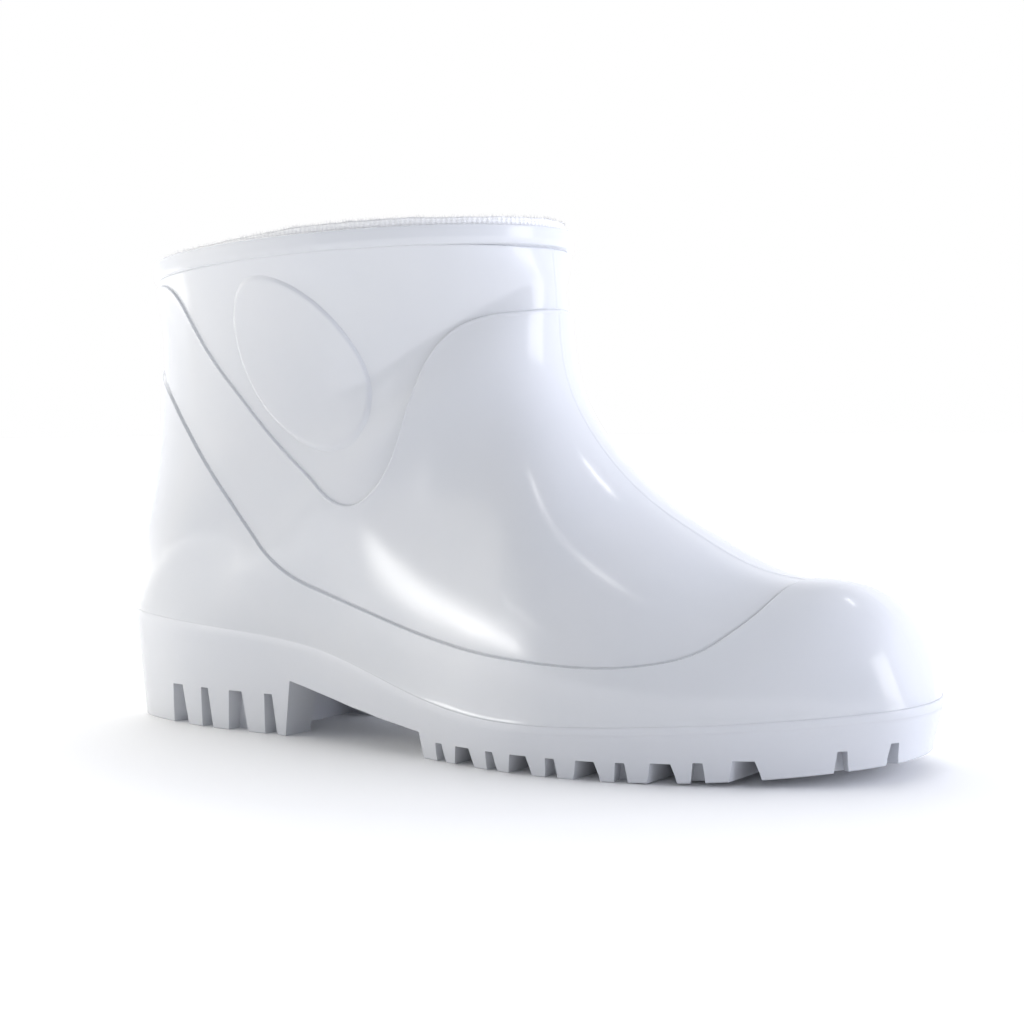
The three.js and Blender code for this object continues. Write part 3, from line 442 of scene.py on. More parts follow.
# %% Rows at real distances from the lines
AFTER_LINE = np.array([0, 0.13, 0.26, 0.39, 0.52, 0.66, 0.8, 1.0, 1.25, 1.6, 2.2, 3.5]) * 0.001
BEFORE_LINE = np.array([3.5, 2.4, 1.8, 1.4, 1.1, 0.85, 0.6, 0.45, 0.3, 0.15]) * 0.001
MIDDLE_ROWS = (15, 19, 17)


def respaced(net, middle_rows):
    columns = net.transpose(1, 0, 2)
    run = run_of(columns)
    length = run[:, -1:]
    tight = np.minimum(1, length / (2.5 * (AFTER_LINE[-1] + BEFORE_LINE[0])))
    first, last = AFTER_LINE * tight, length - BEFORE_LINE * tight
    share = np.linspace(0, 1, middle_rows + 2)[1:-1]
    middle = first[:, -1:] + share * (last[:, :1] - first[:, -1:])
    wanted = np.hstack([first, middle, last])
    moved = np.empty((len(columns), wanted.shape[1], 3))
    for c, column in enumerate(columns):
        for k in range(3):
            moved[c, :, k] = np.interp(wanted[c], run[c], column[:, k])
    return moved.transpose(1, 0, 2), wanted.T, (length - wanted).T


nets = [respaced(net, rows) for net, rows in zip(patches, MIDDLE_ROWS)]
base = np.concatenate([net for net, _, _ in nets] + [patches[2][-1:]])
patch_of_row = np.repeat([0, 1, 2, 2], [len(nets[0][0]), len(nets[1][0]), len(nets[2][0]), 1])
nothing = np.zeros((1, base.shape[1]))
over_line = np.vstack([run for _, run, _ in nets] + [nets[2][1][-1:] + BEFORE_LINE[-1]])
under_line = np.vstack([run for _, _, run in nets] + [nothing])


def normals_of(net):
    """Outward normals of a net of closed rows, from the faces around each point."""
    ahead = np.roll(net, -1, axis=1)
    face = np.cross(ahead[1:] - net[:-1], net[1:] - ahead[:-1])
    face = face + np.roll(face, 1, axis=1)
    normal = np.concatenate([face[:1], face[:-1] + face[1:], face[-1:]])
    for row in (0, -1):
        around = np.roll(net[row], -1, axis=0) - np.roll(net[row], 1, axis=0)
        normal[row] = np.cross(around, (0, 0, 1))
    return normal / np.linalg.norm(normal, axis=-1, keepdims=True)


normals = normals_of(base)
outwards = np.sum(normals * (base - base.mean(axis=(0, 1))), axis=-1).mean()
normals *= np.sign(outwards)
print("rows up the boot:", len(base))


# %% [markdown]
# ## A helper that makes a skin
# A grid from bmesh has the right faces already. Its points are moved to the places of a net,
# and merging doubles closes the seam, the poles and the spine of a sole.

# %% Grid to mesh
MERGE = 2e-6


def skin(name, net, ring=True, cloth=None):
    """A mesh over a net of points in the boot's own frame, rows by columns."""
    if ring:
        net = np.concatenate([net, net[:, :1]], axis=1)
        cloth = None if cloth is None else cloth
    rows, columns = net.shape[:2]
    places = net + ORIGIN
    mesh = bmesh.new()
    bmesh.ops.create_grid(mesh, x_segments=columns - 1, y_segments=rows - 1, size=1)
    laid = mesh.loops.layers.uv.new("Cloth") if cloth is not None else None
    for vert in mesh.verts:
        c = round((vert.co.x + 1) / 2 * (columns - 1))
        r = round((vert.co.y + 1) / 2 * (rows - 1))
        if laid is not None:
            for loop in vert.link_loops:
                loop[laid].uv = cloth[r, c]
        vert.co = places[r, c]
    bmesh.ops.remove_doubles(mesh, verts=mesh.verts, dist=MERGE)
    bmesh.ops.recalc_face_normals(mesh, faces=mesh.faces)
    return to_object(name, mesh)


def to_object(name, mesh):
    data = bpy.data.meshes.new(name)
    mesh.to_mesh(data)
    mesh.free()
    data.shade_smooth()
    piece = bpy.data.objects.new(name, data)
    bpy.context.scene.collection.objects.link(piece)
    print(name, "has", len(data.polygons), "faces")
    return piece


# %% [markdown]
# ## The moulded upper
# On the real boot the foxing and toe cap stand proud of the vamp, and the vamp stands proud of
# the shaft panel. A fine groove runs at the foot of the foxing's edge and just outside the
# panel's edge. All of that is a height over the last, worked out from the distance to each line.

# %% Heights over the last
VAMP_LEVEL = -0.0004
FOXING_LEVEL = VAMP_LEVEL + 0.0008
PANEL_LEVEL = VAMP_LEVEL - 0.0008
BAND_LEVEL = PANEL_LEVEL + 0.0011
INNER_LEVEL = PANEL_LEVEL - 0.0018
BAND_HEIGHT = 0.0065
RIM_ROUNDING = 0.0009
LEDGE_STEP = 0.0018
LEDGE_TOP = 0.34
LEDGE_FULL = 0.045
LEDGE_REACH = 0.13
EDGE_START = -0.0006
EDGE_END = 0.0005
PANEL_EDGE_START = -0.0001
PANEL_EDGE_END = 0.0007
GROOVE_DEPTH = 0.00030
GROOVE_HALF = 0.0003
BAND_GROOVE = 0.0007
FLARE = 0.0003
FLARE_REACH = 0.0016
LIP_HEIGHT = 0.00012
LIP_PLACE = 0.0005
LIP_HALF = 0.00035
RIDGE_HEIGHT = 0.00022


def ramp(value, start, end):
    t = np.clip((value - start) / (end - start), 0, 1)
    return t * t * t * (t * (6 * t - 15) + 10)


def rounded_step(value, start, end):
    """From 0 to 1, softly rounded at its top and crisper at its foot."""
    return ramp(value, start, end) ** 1.3


def dimple(value, centre, half):
    return np.exp(-((value - centre) / half) ** 2)


def column_girth():
    """How far around from the back each column is, as a share of its half."""
    outer = COLUMN_SHARES[:-1]
    inner = COLUMN_SHARES[:0:-1]
    return np.concatenate([outer, inner])


GIRTH = column_girth()


def outer_height():
    height = np.empty(base.shape[:2])
    foxing, vamp, panel = (patch_of_row == k for k in (0, 1, 2))
    low = VAMP_LEVEL - FOXING_LEVEL
    height[foxing] = FOXING_LEVEL + low * rounded_step(-under_line[foxing], EDGE_START, EDGE_END)
    height[foxing] += FLARE * np.exp(-over_line[foxing] / FLARE_REACH)
    height[vamp] = FOXING_LEVEL + low * rounded_step(over_line[vamp], EDGE_START, EDGE_END)
    height[vamp] -= GROOVE_DEPTH * dimple(over_line[vamp], EDGE_END, GROOVE_HALF)
    height[vamp] += LIP_HEIGHT * dimple(under_line[vamp], LIP_PLACE, LIP_HALF)
    low = PANEL_LEVEL - VAMP_LEVEL
    height[panel] = VAMP_LEVEL + low * rounded_step(over_line[panel], PANEL_EDGE_START, PANEL_EDGE_END)
    height[panel] -= BAND_GROOVE * dimple(under_line[panel], 0, GROOVE_HALF)
    return height


def ledge_height():
    """The kick-off ledge stands out around the heel and dies away along the sides."""
    fade = 1 - ramp(GIRTH, LEDGE_FULL, LEDGE_REACH)
    length = (over_line + under_line)[patch_of_row == 0]
    share = over_line[patch_of_row == 0] / length
    top = 1 - ramp(share, LEDGE_TOP, LEDGE_TOP + 0.0016 / length.mean())
    return LEDGE_STEP * fade * top


def front_and_back_ridge():
    """The parting line of the mould, as a fine ridge on the shaft's front and back."""
    at = np.zeros(base.shape[1])
    at[[0, HALF]] = 1
    fade = np.where(patch_of_row == 0, 0.35, 1.0)
    return RIDGE_HEIGHT * np.outer(fade, at)


height = outer_height()
height[patch_of_row == 0] += ledge_height()
height += front_and_back_ridge()
height[0] = np.minimum(height[0], UPPER_INSET - 0.0002)
outer_wall = base + normals * height[..., None]

# %% Collar band, rim and inner wall
SEAT_DEPTH = 0.0004
INNER_STRIDE = 3
up = np.array([0, 0, 1.0])


def band_loop(rise, level):
    return base[-1] + normals[-1] * level + up * rise


def rounded_rim():
    middle = (BAND_LEVEL + INNER_LEVEL) / 2
    half = (BAND_LEVEL - INNER_LEVEL) / 2
    loops = [band_loop(0.00015, PANEL_LEVEL - BAND_GROOVE), band_loop(0.0003, BAND_LEVEL - 0.0003)]
    loops += [band_loop(rise, BAND_LEVEL) for rise in (0.0007, 0.003)]
    for turn in np.radians([0, 18, 36, 54, 72, 90, 108, 126, 144, 162, 180]):
        corner = np.sign(np.cos(turn)) * abs(np.cos(turn)) ** 0.5
        rise = BAND_HEIGHT - RIM_ROUNDING + RIM_ROUNDING * math.sin(turn) ** 0.7
        loops.append(band_loop(rise, middle + half * corner))
    loops.append(band_loop(0.003, INNER_LEVEL))
    return np.stack(loops)


inner_wall = (base + normals * INNER_LEVEL)[::-INNER_STRIDE]
if len(base) % INNER_STRIDE != 1:
    inner_wall = np.concatenate([inner_wall, (base + normals * INNER_LEVEL)[:1]])
outer_wall[0] -= up * SEAT_DEPTH
inner_wall[-1] -= up * SEAT_DEPTH
shell = np.concatenate([outer_wall, rounded_rim(), inner_wall, outer_wall[:1]])
upper = skin("boot_upper", shell)
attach(upper, "root")
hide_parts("upper")

# %% [markdown]
# ## The ankle pads
# Each side of the shaft carries an oval pad, a little proud of the panel, with a soft edge. It is
# bare here. A pad is a round net over the same last, so it follows the ankle's curve, and its
# rim dips into the wall so that no gap shows.

# %% Pads on both sides
PAD_LENGTH = 0.067
PAD_WIDTH = 0.0425
PAD_TILT = math.radians(-51)
PAD_CENTRE = (0.102, 0.1245)
PAD_STEP = 0.0010
PAD_SPOKES = 160
PAD_RINGS = np.array([0, 0.12, 0.25, 0.4, 0.55, 0.7, 0.82, 0.89, 0.92, 0.94, 0.96, 0.98, 1.0])
PROBE = 0.0002


def normal_on_last(x, z, side):
    ahead = on_last(x + PROBE, z, side) - on_last(x - PROBE, z, side)
    above = on_last(x, z + PROBE, side) - on_last(x, z - PROBE, side)
    normal = np.cross(ahead, above) * -side
    return normal / np.linalg.norm(normal, axis=-1, keepdims=True)


def pad_net(side):
    turn = np.linspace(0, 2 * np.pi, PAD_SPOKES, endpoint=False)
    a = np.outer(PAD_RINGS, np.cos(turn)) * PAD_LENGTH / 2
    b = np.outer(PAD_RINGS, np.sin(turn)) * PAD_WIDTH / 2
    x = PAD_CENTRE[0] + a * math.cos(PAD_TILT) - b * math.sin(PAD_TILT)
    z = PAD_CENTRE[1] + a * math.sin(PAD_TILT) + b * math.cos(PAD_TILT)
    drop = ramp(PAD_RINGS, 0.91, 1.0)
    level = PANEL_LEVEL + PAD_STEP - drop * (PAD_STEP + 0.0003)
    top = on_last(x, z, side) + normal_on_last(x, z, side) * level[:, None, None]
    sunk = on_last(x, z, side) + normal_on_last(x, z, side) * (PANEL_LEVEL - 0.0009)
    return np.concatenate([top, sunk[::-3]])


for side, word in ((OUTER, "outer"), (INNER, "inner")):
    pad = skin(f"ankle_pad_{word}", pad_net(side))
    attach(pad, "root")

# %% [markdown]
# ## The outsole
# The sole is a thick plate with the foot's outline. Its side slopes in towards the floor, a fine
# rib runs around the forefoot, and the toe springs up a little. The block is one closed skin,
# whose caps run in to a spine under the midline. The arch, the grooves and the notches are then
# cut out of it with blocks that narrow upwards, as pins in the mould do.

# %% Sole sizes
SIDE_TAPER = 0.0033
SOLE_EDGE = 0.0006
RIB_HEIGHT = 0.0026
RIB_STEP = 0.0004
RIB_START = 0.185
RIB_FADE = 0.020
TOE_SPRING = 0.007
SPRING_START = 0.215
HEEL_LENGTH = 0.087
BREAST_HEIGHT = 0.0193
BREAST_LEAN = 0.004
FOREPART_START = 0.1526
ARCH_FRONT_HEIGHT = 0.0085
BREAST_HOLLOW_DEPTH = 0.014
BREAST_PILLAR = 0.016
HEEL_NOTCH_HEIGHT = 0.014
HEEL_NOTCH_DEPTH = 0.0055
HEEL_NOTCHES = [(0.036, 0.0096), (0.0509, 0.0058), (0.0658, 0.0096), (0.0807, 0.0058)]
GROOVE_HEIGHT = 0.006
NOTCH_DEPTH = 0.0055
GROOVE_FIRST = 0.171
GROOVE_PITCH = 0.0222
GROOVE_COUNT = 5
WIDE_GROOVE = 0.0096
NARROW_GROOVE = 0.0048
GROOVE_NARROWING = 0.6
TOE_NOTCHES = (0.95, 0.988)
CUTTER_REACH = 0.002
ARCH = [(0.0, 0.0), (0.28, 0.37), (0.45, 0.58), (0.68, 0.79), (1.0, 1.0)]
OUTLINE_STEPS = 96


def underside(x):
    ahead = np.clip((np.asarray(x) - SPRING_START) / (FOOT_LENGTH - SPRING_START), 0, None)
    return TOE_SPRING * ahead * ahead


# %% Outline of the sole
def outline_loop():
    share = (1 - np.cos(np.pi * np.linspace(0, 1, OUTLINE_STEPS + 1))) / 2
    halves = []
    for side in (OUTER, INNER):
        x = share * FOOT_LENGTH
        halves.append(np.stack([x, side * half_width(share, side) + swing(x)], axis=-1))
    return np.vstack([halves[0][:-1], halves[1][:0:-1]])


plan = outline_loop()
tangent = np.roll(plan, -1, axis=0) - np.roll(plan, 1, axis=0)
tangent /= np.linalg.norm(tangent, axis=1, keepdims=True)
plan_normal = np.stack([tangent[:, 1], -tangent[:, 0]], axis=-1)


def sole_level(inset, height_over_x):
    place = plan - plan_normal * np.broadcast_to(inset, len(plan))[:, None]
    return np.column_stack([place, height_over_x(place[:, 0])])


def spine_rows(level, height_over_x, shares):
    """Rows of a cap, from the midline out to a level."""
    middle = (level + level[np.r_[0, len(level) - 1:0:-1]]) / 2
    rows = []
    for share in shares:
        row = middle + share * (level - middle)
        row[:, 2] = height_over_x(row[:, 0])
        rows.append(row)
    return rows


# %% The sole's block
rib_fade = ramp(plan[:, 0], RIB_START, RIB_START + RIB_FADE)
WALL_SHARES = (0.15, 0.35, 0.55, 0.75, 0.92)


def rib_under(x):
    return sole_line(x) - RIB_HEIGHT - RIB_STEP


def sole_block():
    rounding = [(1.0, 0.0), (0.62, 0.08), (0.29, 0.29), (0.08, 0.62), (0.0, 1.0)]
    levels = [sole_level(SIDE_TAPER + SOLE_EDGE * a, lambda x, b=b: underside(x) + SOLE_EDGE * b)
              for a, b in rounding]
    for share in WALL_SHARES:
        levels.append(sole_level(
            SIDE_TAPER * (1 - share) + RIB_STEP * rib_fade,
            lambda x, s=share: underside(x) + s * (rib_under(x) - underside(x))))
    levels.append(sole_level(RIB_STEP * rib_fade, rib_under))
    levels.append(sole_level(RIB_STEP * 0.3 * rib_fade, lambda x: rib_under(x) + 0.7 * RIB_STEP))
    levels.append(sole_level(0, lambda x: rib_under(x) + 1.4 * RIB_STEP))
    for a, b in rounding[::-1]:
        levels.append(sole_level(SOLE_EDGE * a, lambda x, b=b: sole_line(x) - SOLE_EDGE * b))
    caps = (0.0, 0.35, 0.7, 0.92)
    bottom = spine_rows(levels[0], underside, caps)
    top = spine_rows(levels[-1], sole_line, caps)
    return np.stack(bottom + levels + top[::-1])


outsole = skin("boot_outsole", sole_block())


# %% Cutters
def block(mesh, width, depth, high, narrowing, turn, place):
    """A block that narrows upwards, standing on its place and turned about it."""
    made = bmesh.ops.create_cube(mesh, size=1)["verts"]
    for vert in made:
        on_top = vert.co.z > 0
        vert.co.x *= width * (narrowing if on_top else 1)
        vert.co.y *= depth
        vert.co.z = high if on_top else 0
    bmesh.ops.rotate(mesh, verts=made, matrix=Matrix.Rotation(turn, 3, "Z"))
    bmesh.ops.translate(mesh, verts=made, vec=Vector(place) + Vector(ORIGIN))


def side_notch(mesh, x, side, width, high, depth):
    spots = slice(0, OUTLINE_STEPS) if side == OUTER else slice(OUTLINE_STEPS, None)
    nearest = np.argmin(abs(plan[spots, 0] - x))
    normal = plan_normal[spots][nearest]
    y = side * half_width(x / FOOT_LENGTH, side) + swing(x)
    turn = math.atan2(normal[1], normal[0]) - math.pi / 2
    block(mesh, width, 2 * (depth + SIDE_TAPER), high + CUTTER_REACH, GROOVE_NARROWING, turn,
          (x, y, underside(x) - CUTTER_REACH))


def notch_cutters():
    mesh = bmesh.new()
    for side in (OUTER, INNER):
        for x, width in HEEL_NOTCHES:
            side_notch(mesh, x, side, width, HEEL_NOTCH_HEIGHT, HEEL_NOTCH_DEPTH)
        for i in range(GROOVE_COUNT):
            x = GROOVE_FIRST + (i - 0.5) * GROOVE_PITCH
            side_notch(mesh, x, side, NARROW_GROOVE, GROOVE_HEIGHT, NOTCH_DEPTH)
        for share in TOE_NOTCHES:
            side_notch(mesh, share * FOOT_LENGTH, side, NARROW_GROOVE, GROOVE_HEIGHT, NOTCH_DEPTH)
    for i in range(GROOVE_COUNT):
        x = GROOVE_FIRST + i * GROOVE_PITCH
        block(mesh, WIDE_GROOVE, 2 * BALL_WIDTH, GROOVE_HEIGHT + CUTTER_REACH, GROOVE_NARROWING,
              0, (x, 0, underside(x) - CUTTER_REACH))
    return to_object("notch_cutters", mesh)


def arch_cutter():
    """The space under the waist, swept across the foot from its side profile."""
    profile = [(HEEL_LENGTH - BREAST_LEAN * CUTTER_REACH / BREAST_HEIGHT, -CUTTER_REACH)]
    start = HEEL_LENGTH + BREAST_LEAN
    for along, drop in ARCH:
        x = start + along * (FOREPART_START - 0.001 - start)
        profile.append((x, BREAST_HEIGHT + drop * (ARCH_FRONT_HEIGHT - BREAST_HEIGHT)))
    profile.append((FOREPART_START, -CUTTER_REACH))
    mesh = bmesh.new()
    verts = [mesh.verts.new(Vector((x, -BALL_WIDTH, z)) + Vector(ORIGIN)) for x, z in profile]
    made = bmesh.ops.contextual_create(mesh, geom=verts)["faces"]
    swept = bmesh.ops.extrude_face_region(mesh, geom=made, use_keep_orig=True)["geom"]
    moved = [item for item in swept if isinstance(item, bmesh.types.BMVert)]
    bmesh.ops.translate(mesh, verts=moved, vec=(0, 2 * BALL_WIDTH, 0))
    bmesh.ops.recalc_face_normals(mesh, faces=mesh.faces)
    return to_object("arch_cutter", mesh)


def breast_cutter():
    mesh = bmesh.new()
    share = HEEL_LENGTH / FOOT_LENGTH
    width = half_width(share, OUTER) + half_width(share, INNER) - 2 * BREAST_PILLAR
    high = BREAST_HEIGHT - BREAST_LEAN + CUTTER_REACH
    block(mesh, 2 * BREAST_HOLLOW_DEPTH, width, high, 1, 0, (HEEL_LENGTH, 0, -CUTTER_REACH))
    return to_object("breast_cutter", mesh)


# %% Cut the sole
def cut(piece, cutters):
    """Cuts each cutter out of the piece and leaves one plain mesh."""
    for cutter in cutters:
        step = piece.modifiers.new("cut", "BOOLEAN")
        step.operation = "DIFFERENCE"
        step.solver = "EXACT"
        step.object = cutter
    graph = bpy.context.evaluated_depsgraph_get()
    done = bpy.data.meshes.new_from_object(piece.evaluated_get(graph))
    piece.modifiers.clear()
    piece.data = done
    for cutter in cutters:
        bpy.data.objects.remove(cutter)
    print(piece.name, "has", len(done.polygons), "faces after the cuts")


cut(outsole, [arch_cutter(), breast_cutter(), notch_cutters()])
outsole.data.set_sharp_from_angle(angle=math.radians(32))
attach(outsole, "root")
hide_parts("outsole")

# %% [markdown]
# ## Insole and lining
# A loose insole covers the floor of the boot, and a knitted sock lines the wall. The lining is
# cut raw a few millimetres above the rim, where its loose fibres make a soft grey edge.

# %% Insole
INSOLE_INSET = UPPER_INSET - INNER_LEVEL + 0.0012
INSOLE_THICKNESS = 0.0035
INSOLE_ROUNDING = 0.0016


def insole_floor(x):
    return sole_line(x) + 0.0001


def insole_net():
    levels = [sole_level(INSOLE_INSET, insole_floor)]
    for turn in np.radians([0, 22, 45, 67, 90]):
        inset = INSOLE_INSET + INSOLE_ROUNDING * (1 - math.cos(turn))
        rise = INSOLE_THICKNESS - INSOLE_ROUNDING * (1 - math.sin(turn))
        levels.append(sole_level(inset, lambda x, r=rise: insole_floor(x) + r))
    caps = (0.0, 0.3, 0.6, 0.85)
    bottom = spine_rows(levels[0], insole_floor, caps)
    top = spine_rows(levels[-1], lambda x: insole_floor(x) + INSOLE_THICKNESS, caps)
    return np.stack(bottom + levels + top[::-1])


insole_places = insole_net()
insole_places = np.concatenate([insole_places, insole_places[:, :1]], axis=1)
insole = skin("boot_insole", insole_places, ring=False, cloth=insole_places[..., :2])
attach(insole, "root")
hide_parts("insole")

# %% Lining
LINING_THICKNESS = 0.0008
LINING_RISE = 0.0006
LINING_RISE_AHEAD = 0.0020
RAW_EDGE_WAVE = 0.0003
LINING_FOOT = 0.0042
LINING_STRIDE = 3
rng = np.random.default_rng(7)


def raw_edge():
    """How far the cut edge stands over the rim, column by column."""
    turn = np.linspace(0, 2 * np.pi, base.shape[1], endpoint=False)
    wave = sum(np.sin(turn * k + rng.uniform(0, 6.28)) / k ** 0.5 for k in (5, 9, 17, 31, 47))
    ahead = ramp(base[-1][:, 0], 0.04, 0.13)
    return BAND_HEIGHT + LINING_RISE + LINING_RISE_AHEAD * ahead + RAW_EDGE_WAVE * wave


edge_rise = raw_edge()
clear_rows = np.all((base[:, :, 2] - sole_line(base[:, :, 0])) > LINING_FOOT, axis=1)
lining_rows = np.flatnonzero(clear_rows)[::-1][::LINING_STRIDE]


def lining_face(level):
    wall = (base + normals * level)[lining_rows]
    top = [base[-1] + normals[-1] * level + up * (edge_rise * share)[:, None]
           for share in (1.0, 0.9, 0.75, 0.5, 0.25)]
    return np.concatenate([np.stack(top), wall])


face_to_foot = lining_face(INNER_LEVEL - LINING_THICKNESS)
face_to_wall = lining_face(INNER_LEVEL - 0.0001)
lining_net = np.concatenate([face_to_wall[::-1], face_to_foot, face_to_wall[-1:]])
lining_net = np.concatenate([lining_net, lining_net[:, :1]], axis=1)
around = run_of(lining_net[len(face_to_wall)])
down = run_of(lining_net.transpose(1, 0, 2))[base.shape[1] // 4]
cloth_map = np.stack(np.meshgrid(around, down), axis=-1)
lining = skin("knitted_lining", lining_net, ring=False, cloth=cloth_map)
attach(lining, "root")

# %% Loose fibres on the raw edge
FIBRE_COUNT = 2600
FIBRE_THICKNESS = 0.00007


def fibres():
    mesh = bmesh.new()
    count = base.shape[1]
    edge = base[-1] + normals[-1] * (INNER_LEVEL - LINING_THICKNESS / 2)
    for _ in range(FIBRE_COUNT):
        place = rng.uniform(0, count)
        c, t = int(place) % count, place % 1
        d = (c + 1) % count
        root = edge[c] * (1 - t) + edge[d] * t
        root = root + up * (edge_rise[c] * (1 - t) + edge_rise[d] * t - 0.0004)
        lean = Vector(normals[-1][c] * rng.normal(0.1, 0.5) + up
                      + np.cross(normals[-1][c], up) * rng.normal(0, 0.8))
        length = rng.uniform(0.0006, 0.0017)
        turn = lean.to_track_quat("Z", "Y").to_matrix().to_4x4()
        at = Matrix.Translation(Vector(root + ORIGIN) + lean.normalized() * length / 2)
        bmesh.ops.create_cone(
            mesh, cap_ends=True, segments=3, radius1=FIBRE_THICKNESS,
            radius2=FIBRE_THICKNESS * 0.3, depth=length, matrix=at @ turn)
    return to_object("lining_fibres", mesh)


fuzz = fibres()
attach(fuzz, "root")

# %% [markdown]
# ## Finishes
# The boot is white PVC with a cool cast. Fresh from a polished mould it is glossy, but never
# perfectly even: the melt leaves long faint waves, and handling leaves fine dull smudges. One
# node group holds those effects, and each plastic uses it with its own amounts.

# %% The moulded-skin effect
def link(tree, source, target):
    tree.links.new(source, target)


def noise(tree, vector, scale, detail=3.0, roughness=0.5):
    node = tree.nodes.new("ShaderNodeTexNoise")
    node.inputs["Scale"].default_value = scale
    node.inputs["Detail"].default_value = detail
    node.inputs["Roughness"].default_value = roughness
    link(tree, vector, node.inputs["Vector"])
    return node.outputs["Fac"]


def remap(tree, value, low, high, to_low, to_high):
    node = tree.nodes.new("ShaderNodeMapRange")
    for name, number in (("From Min", low), ("From Max", high),
                         ("To Min", to_low), ("To Max", to_high)):
        node.inputs[name].default_value = number
    link(tree, value, node.inputs["Value"])
    return node.outputs["Result"]


def maths(tree, operation, first, second):
    node = tree.nodes.new("ShaderNodeMath")
    node.operation = operation
    for socket, value in zip(node.inputs, (first, second)):
        if isinstance(value, (int, float)):
            socket.default_value = value
        else:
            link(tree, value, socket)
    return node.outputs[0]


def moulded_skin():
    """Colour mask, roughness and height of a moulded plastic skin."""
    group = bpy.data.node_groups.new("moulded_skin", "ShaderNodeTree")
    face = group.interface
    for name, start in (("Gloss Roughness", 0.15), ("Smudge", 0.1), ("Wave", 0.3)):
        socket = face.new_socket(name=name, in_out="INPUT", socket_type="NodeSocketFloat")
        socket.default_value = start
    for name in ("Mask", "Roughness", "Height"):
        face.new_socket(name=name, in_out="OUTPUT", socket_type="NodeSocketFloat")
    start = group.nodes.new("NodeGroupInput")
    end = group.nodes.new("NodeGroupOutput")
    place = group.nodes.new("ShaderNodeTexCoord").outputs["Object"]
    cloud = noise(group, place, 26.0, 4.0, 0.55)
    grain = noise(group, place, 900.0, 2.0, 0.6)
    smear = noise(group, place, 70.0, 5.0, 0.65)
    flow = noise(group, place, 55.0, 1.0, 0.4)
    dull = remap(group, smear, 0.5, 0.75, 0.0, 1.0)
    dull = maths(group, "MULTIPLY", dull, start.outputs["Smudge"])
    rough = maths(group, "ADD", start.outputs["Gloss Roughness"], dull)
    wave = maths(group, "MULTIPLY", flow, start.outputs["Wave"])
    high = maths(group, "ADD", wave, maths(group, "MULTIPLY", grain, 0.02))
    link(group, remap(group, cloud, 0.3, 0.7, 0.0, 1.0), end.inputs["Mask"])
    link(group, rough, end.inputs["Roughness"])
    link(group, high, end.inputs["Height"])
    return group


MOULDED_SKIN = moulded_skin()


# %% Plastic finishes
def plastic(name, light, deep, gloss, smudge, wave, bump):
    material = bpy.data.materials.new(name)
    material.use_nodes = True
    tree = material.node_tree
    shader = tree.nodes["Principled BSDF"]
    effect = tree.nodes.new("ShaderNodeGroup")
    effect.node_tree = MOULDED_SKIN
    effect.inputs["Gloss Roughness"].default_value = gloss
    effect.inputs["Smudge"].default_value = smudge
    effect.inputs["Wave"].default_value = wave
    mix = tree.nodes.new("ShaderNodeMix")
    mix.data_type = "RGBA"
    mix.inputs[6].default_value = (*deep, 1)
    mix.inputs[7].default_value = (*light, 1)
    link(tree, effect.outputs["Mask"], mix.inputs[0])
    link(tree, mix.outputs[2], shader.inputs["Base Color"])
    link(tree, effect.outputs["Roughness"], shader.inputs["Roughness"])
    lift = tree.nodes.new("ShaderNodeBump")
    lift.inputs["Strength"].default_value = bump
    lift.inputs["Distance"].default_value = 0.0003
    link(tree, effect.outputs["Height"], lift.inputs["Height"])
    link(tree, lift.outputs["Normal"], shader.inputs["Normal"])
    shader.inputs["IOR"].default_value = 1.53
    return material


def finish_with(piece, material):
    piece.data.materials.clear()
    piece.data.materials.append(material)


gloss_white = plastic("gloss_white_pvc", (0.65, 0.66, 0.685), (0.63, 0.645, 0.675),
                      0.145, 0.03, 0.35, 0.25)
sole_white = plastic("sole_white_pvc", (0.66, 0.67, 0.70), (0.64, 0.655, 0.69),
                     0.25, 0.03, 0.3, 0.25)
for name in ("boot_upper", "ankle_pad_outer", "ankle_pad_inner"):
    finish_with(bpy.data.objects[name], gloss_white)
finish_with(outsole, sole_white)

# %% [markdown]
# The lining is a fine rib knit. Its wales and courses follow the cloth's own UV map, in metres,
# so the loops have their real size of about a millimetre and a half.

# %% Knitted finish
WALE = 0.0016
COURSE = 0.0011


